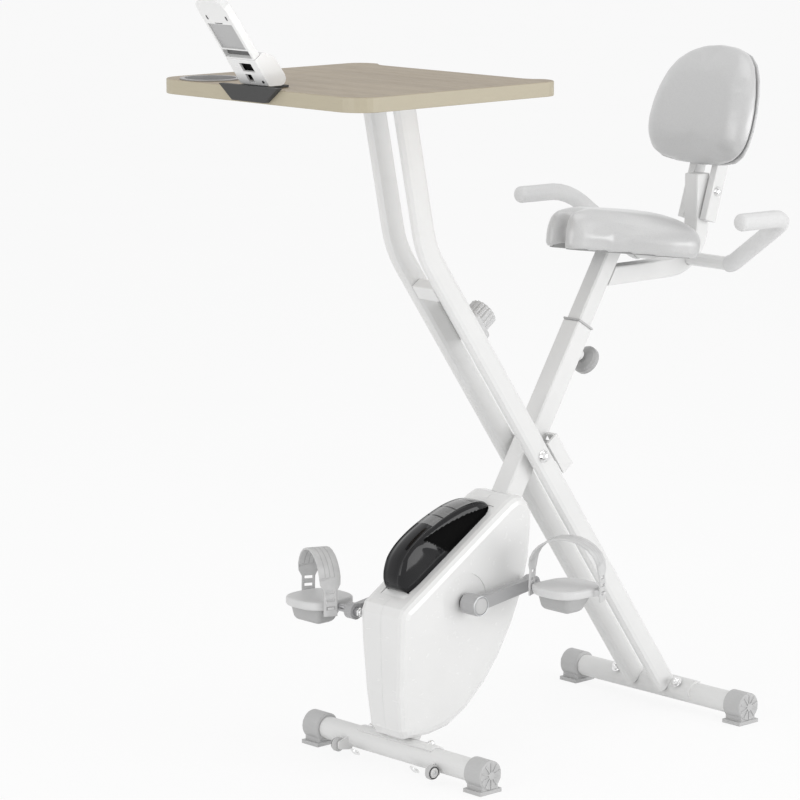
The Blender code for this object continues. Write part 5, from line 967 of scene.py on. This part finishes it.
class BIKE_OT_fasteners(Operator):
    """Adds the cap nuts and washers on both feet, and the ends of their bolts"""
    bl_idname = "bike.fasteners"
    bl_label = "Fasteners"

    # Where the bolts pass through the front tube, the two bolts' places along a tube, and how deep
    # the washers under it are let in
    front = -0.197
    places = (("near", -0.0615), ("far", 0.076))
    sunk = 0.001

    def execute(self, context):
        for word, tube, body, lean in (("front", "front_stabilizer", "front_frame", 1),
                                       ("rear", "rear_stabilizer", "rear_frame", -1)):
            middle = middle_of(tube)
            if word == "front":
                middle.x = self.front
            out = Vector((lean * 0.72, 0, 0.69))
            for name, place in self.places:
                middle.y = place
                nut = cap_nut(f"{word}_{name}_nut", middle + out * sizes().foot_radius, out,
                              sizes().nut)
                settle(nut, body, "chrome", "chrome", 40)
                under = middle - out * (sizes().foot_radius - self.sunk)
                settle(bolt_head(f"{word}_{name}_bolt_head", under, -out), body, "chrome",
                       "chrome", 40)
        return {"FINISHED"}


class BIKE_OT_wheel_trim(Operator):
    """Adds the discs, rings and pins of the transport wheels"""
    bl_idname = "bike.wheel_trim"
    bl_label = "Wheel trim"

    def execute(self, context):
        for side, word in SIDES:
            body, out = "wheel_" + word, Vector((0, side, 0))
            face = face_of(body, side)
            disc = drum("wheel_disc_" + word, 0.0078, 0.0012, face + out * 0.0006, out, 0.0005)
            settle(disc, body, "shell", "white_gloss", 40)
            ring = bead("wheel_ring_" + word, 0.0092, 0.0009, face + out * 0.0002, out, 40)
            settle(ring, body, "gloss_black", "black_plastic", 60)
            pin = drum("wheel_pin_" + word, 0.0030, 0.0030, face + out * 0.0022, out, 0.0008, 6)
            settle(pin, body, "zinc", "steel", 40)
        return {"FINISHED"}


class BIKE_OT_crank_trim(Operator):
    """Adds the caps on the crank hubs and the nuts of the pedal spindles"""
    bl_idname = "bike.crank_trim"
    bl_label = "Crank trim"

    def execute(self, context):
        for side, word in SIDES:
            out = Vector((0, side, 0))
            hub = middle_of("crank_axle")
            hub.y = face_of("crank_arm_" + word, side).y
            ring = bead("hub_ring_" + word, 0.0150, 0.0011, hub + out * 0.0004, out, 48)
            settle(ring, "crank", "zinc", "steel", 60)
            cap = dome("hub_cap_" + word, 0.0136, hub, out, 0.26)
            settle(cap, "crank", "cap_plastic", "crank_grey", 60)
            inner = face_of("pedal_spindle_" + word, -side)
            nut = drum("spindle_nut_" + word, 0.0078, 0.0050, inner - out * 0.0026, out, 0.0008, 6)
            end = dome("spindle_end", 0.0050, inner - out * 0.0050, out, 0.5)
            nut = joined_piece("spindle_nut_" + word, [nut, end])
            settle(nut, "crank", "chrome", "steel", 40)
        return {"FINISHED"}


class BIKE_OT_straps(Operator):
    """Makes the ribbed straps over the feet, with softened edges"""
    bl_idname = "bike.straps"
    bl_label = "Straps"

    def execute(self, context):
        plain = 0.052
        for side, word in SIDES:
            node = "strap_" + word
            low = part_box(node)[0]
            centre = middle_of(node)
            piece = merged_copy("foot_strap_" + word, node, flatten=True)
            width = Vector((cos(STRAP_TURN), -side * sin(STRAP_TURN), 0))
            attribute = piece.data.attributes.new("across", "FLOAT", "POINT")
            for vertex, value in zip(piece.data.vertices, attribute.data):
                value.value = (vertex.co - centre).dot(width)
                if vertex.co.z < low.z + plain:
                    value.value = 0.02 + abs(value.value)
            bevel(piece, 0.0007, 2, 50)
            settle(piece, "pedal_" + word, "strap_rubber_" + word, "strap_grey", 50, (node,))
        return {"FINISHED"}


class BIKE_OT_pedals(Operator):
    """Makes the pedals: a rounded platform over a narrower weighted body"""
    bl_idname = "bike.pedals"
    bl_label = "Pedals"

    # The pedals' distance from the bike's middle, and their lugs: three sizes and distance from the axis
    stand = 0.155
    lugs = ((0.014, 0.014, 0.010, 0.0445), (0.011, 0.014, 0.0035, 0.0505))

    def execute(self, context):
        for side, word in SIDES:
            node = "pedal_" + word
            axis = middle_of("pedal_spindle_" + word)
            axis.y = side * self.stand
            platform = self.platform("platform_" + word, axis)
            weight = self.weight("weight_" + word, axis)
            settle(platform, node, "pedal_plastic", "pedal_grey", 50, (node,))
            # The body under the platform is painted darker as shade
            settle(weight, node, "pedal_under", "pedal_grey", 50)
            lugs = self.strap_lugs("strap_lugs_" + word, axis, side)
            settle(lugs, node, "pedal_plastic", "pedal_grey", 40)
        return {"FINISHED"}

    def platform(self, name, axis):
        """The platform that the foot stands on: between an oval and an oblong."""
        half_length, half_width, thickness, height, corner = 0.049, 0.047, 0.014, 0.004, 0.72
        rest()
        bpy.ops.mesh.primitive_cylinder_add(vertices=64, radius=1, depth=1, location=(0, 0, 0))
        piece = named(name)
        for vertex in piece.data.vertices:
            x, y, z = vertex.co
            vertex.co = (axis.x + copysign(half_length * abs(x) ** corner, x),
                         axis.y + copysign(half_width * abs(y) ** corner, y),
                         axis.z + height + thickness * z)
        return bevel(piece, 0.0040, 4, 50)

    def weight(self, name, axis):
        """The weighted body under the platform: a block that tapers downwards."""
        foot, top = (-0.012, 0.036, 0.060, -0.0285), (-0.004, 0.060, 0.074, 0.002)
        piece = block(name)
        for vertex in piece.data.vertices:
            shift, length, width, height = foot if vertex.co.z < 0 else top
            vertex.co = (axis.x + shift + length * vertex.co.x, axis.y + width * vertex.co.y,
                         axis.z + height)
        return bevel(piece, 0.009, 5, 30)

    def strap_lugs(self, name, axis, side):
        """The two lugs that the strap hooks on, with their pegs through its slots."""
        parts = []
        turn = (Matrix.Rotation(-side * STRAP_TURN, 4, "Z")
                @ Matrix.Diagonal((1, 1 / cos(STRAP_TURN), 1, 1)))
        for end in (-1, 1):
            for length, width, height, reach in self.lugs:
                lug = block("lug")
                for vertex in lug.data.vertices:
                    x, y, z = vertex.co
                    spot = Vector((x * length, y * width + end * reach, z * height + 0.003))
                    vertex.co = axis + turn @ spot
                parts.append(bevel(lug, 0.0008, 2))
        return joined_piece(name, parts)


# The console's lower corner, and its dark pieces, among them sheets of painted shade in the stand's deep
# slot and its two small slots: name, finish, slot, and box in the console's slant
CONSOLE_CORNER = (-0.47425, 1.085)
CONSOLE_TRIM = (
    ("console_lining", "vent_dark", "black_plastic", (0.0052, -0.026, 0.005), (0.0072, 0.026, 0.045)),
    ("stand_panel", "recess_grey", "grey_plastic", (0.0019, -0.0265, 0.0677), (0.0029, 0.0265, 0.1128)),
    # Painted shade: a dark sheet at the back of the stand's deep slot
    ("stand_slot_shade", "strip_grey", "grey_plastic", (0.0059, -0.0285, 0.0520), (0.0069, 0.0285, 0.0648)),
    # Painted shade: dark patches where the stand's two small slots are
    ("stand_slot_far_shade", "gloss_black", "black_plastic", (-0.0004, 0.0180, 0.1215),
     (0.0006, 0.0210, 0.1285)),
    ("stand_slot_near_shade", "gloss_black", "black_plastic", (-0.0004, -0.0250, 0.1215),
     (0.0006, -0.0220, 0.1285)),
    ("stand_line", "gloss_black", "black_plastic", (-0.0004, -0.0080, 0.1145), (0.0006, 0.0080, 0.1158)),
)


class BIKE_OT_console_trim(Operator):
    """Adds the dark parts of the console: its lining and recess, and painted shade in its slots and screw
    hole
    """
    bl_idname = "bike.console_trim"
    bl_label = "Console trim"

    def execute(self, context):
        for name, finish, slot, low, high in CONSOLE_TRIM:
            piece = block(name)
            for vertex in piece.data.vertices:
                share = vertex.co + Vector((0.5, 0.5, 0.5))
                vertex.co = self.place(*(a + (b - a) * s for a, b, s in zip(low, high, share)))
            bevel(piece, 0.0002, 2)
            settle(piece, "desk", finish, slot, 40)
        # Painted shade: a dark disc where the screw hole is
        spot, out = self.place(-0.0004, -0.024, 0.008), self.place(-1, 0, 0) - self.place(0, 0, 0)
        screw = drum("screw_hole_shade", 0.0024, 0.0012, spot, out, 0.0004, 24)
        settle(screw, "desk", "gloss_black", "black_plastic", 40)
        return {"FINISHED"}

    def place(self, ahead, across, up):
        """A point in the console's slant: towards the rider, across, and up along its back."""
        x, z = CONSOLE_CORNER
        return Vector((x + ahead * cos(CONSOLE_SLANT) - up * sin(CONSOLE_SLANT), across,
                       z + ahead * sin(CONSOLE_SLANT) + up * cos(CONSOLE_SLANT)))


class BIKE_PT_panel(Panel):
    """Lists the bike's pieces in the sidebar"""
    bl_label = "Desk exercise bike"
    bl_idname = "BIKE_PT_panel"
    bl_space_type = "VIEW_3D"
    bl_region_type = "UI"
    bl_category = "Bike"

    def draw(self, context):
        for step in STEPS:
            self.layout.operator(step.bl_idname)
        for group in (context.scene.bike_colours, context.scene.bike_sizes):
            for key in group.bl_rna.properties.keys():
                if key not in ("rna_type", "name"):
                    self.layout.prop(group, key)


STEPS = (BIKE_OT_stage, BIKE_OT_finishes, BIKE_OT_saddle, BIKE_OT_backrest, BIKE_OT_grips,
         BIKE_OT_hood, BIKE_OT_fasteners, BIKE_OT_wheel_trim, BIKE_OT_crank_trim, BIKE_OT_straps,
         BIKE_OT_pedals, BIKE_OT_console_trim)
CLASSES = (BikeColours, BikeSizes, *STEPS, BIKE_PT_panel)


def register():
    for cls in CLASSES:
        bpy.utils.register_class(cls)
    bpy.types.Scene.bike_colours = PointerProperty(type=BikeColours)
    bpy.types.Scene.bike_sizes = PointerProperty(type=BikeSizes)


def unregister():
    del bpy.types.Scene.bike_sizes
    del bpy.types.Scene.bike_colours
    for cls in reversed(CLASSES):
        bpy.utils.unregister_class(cls)


def main():
    register()
    for step in STEPS:
        getattr(bpy.ops.bike, step.bl_idname.split(".")[1])()


if __name__ == "__main__":
    main()
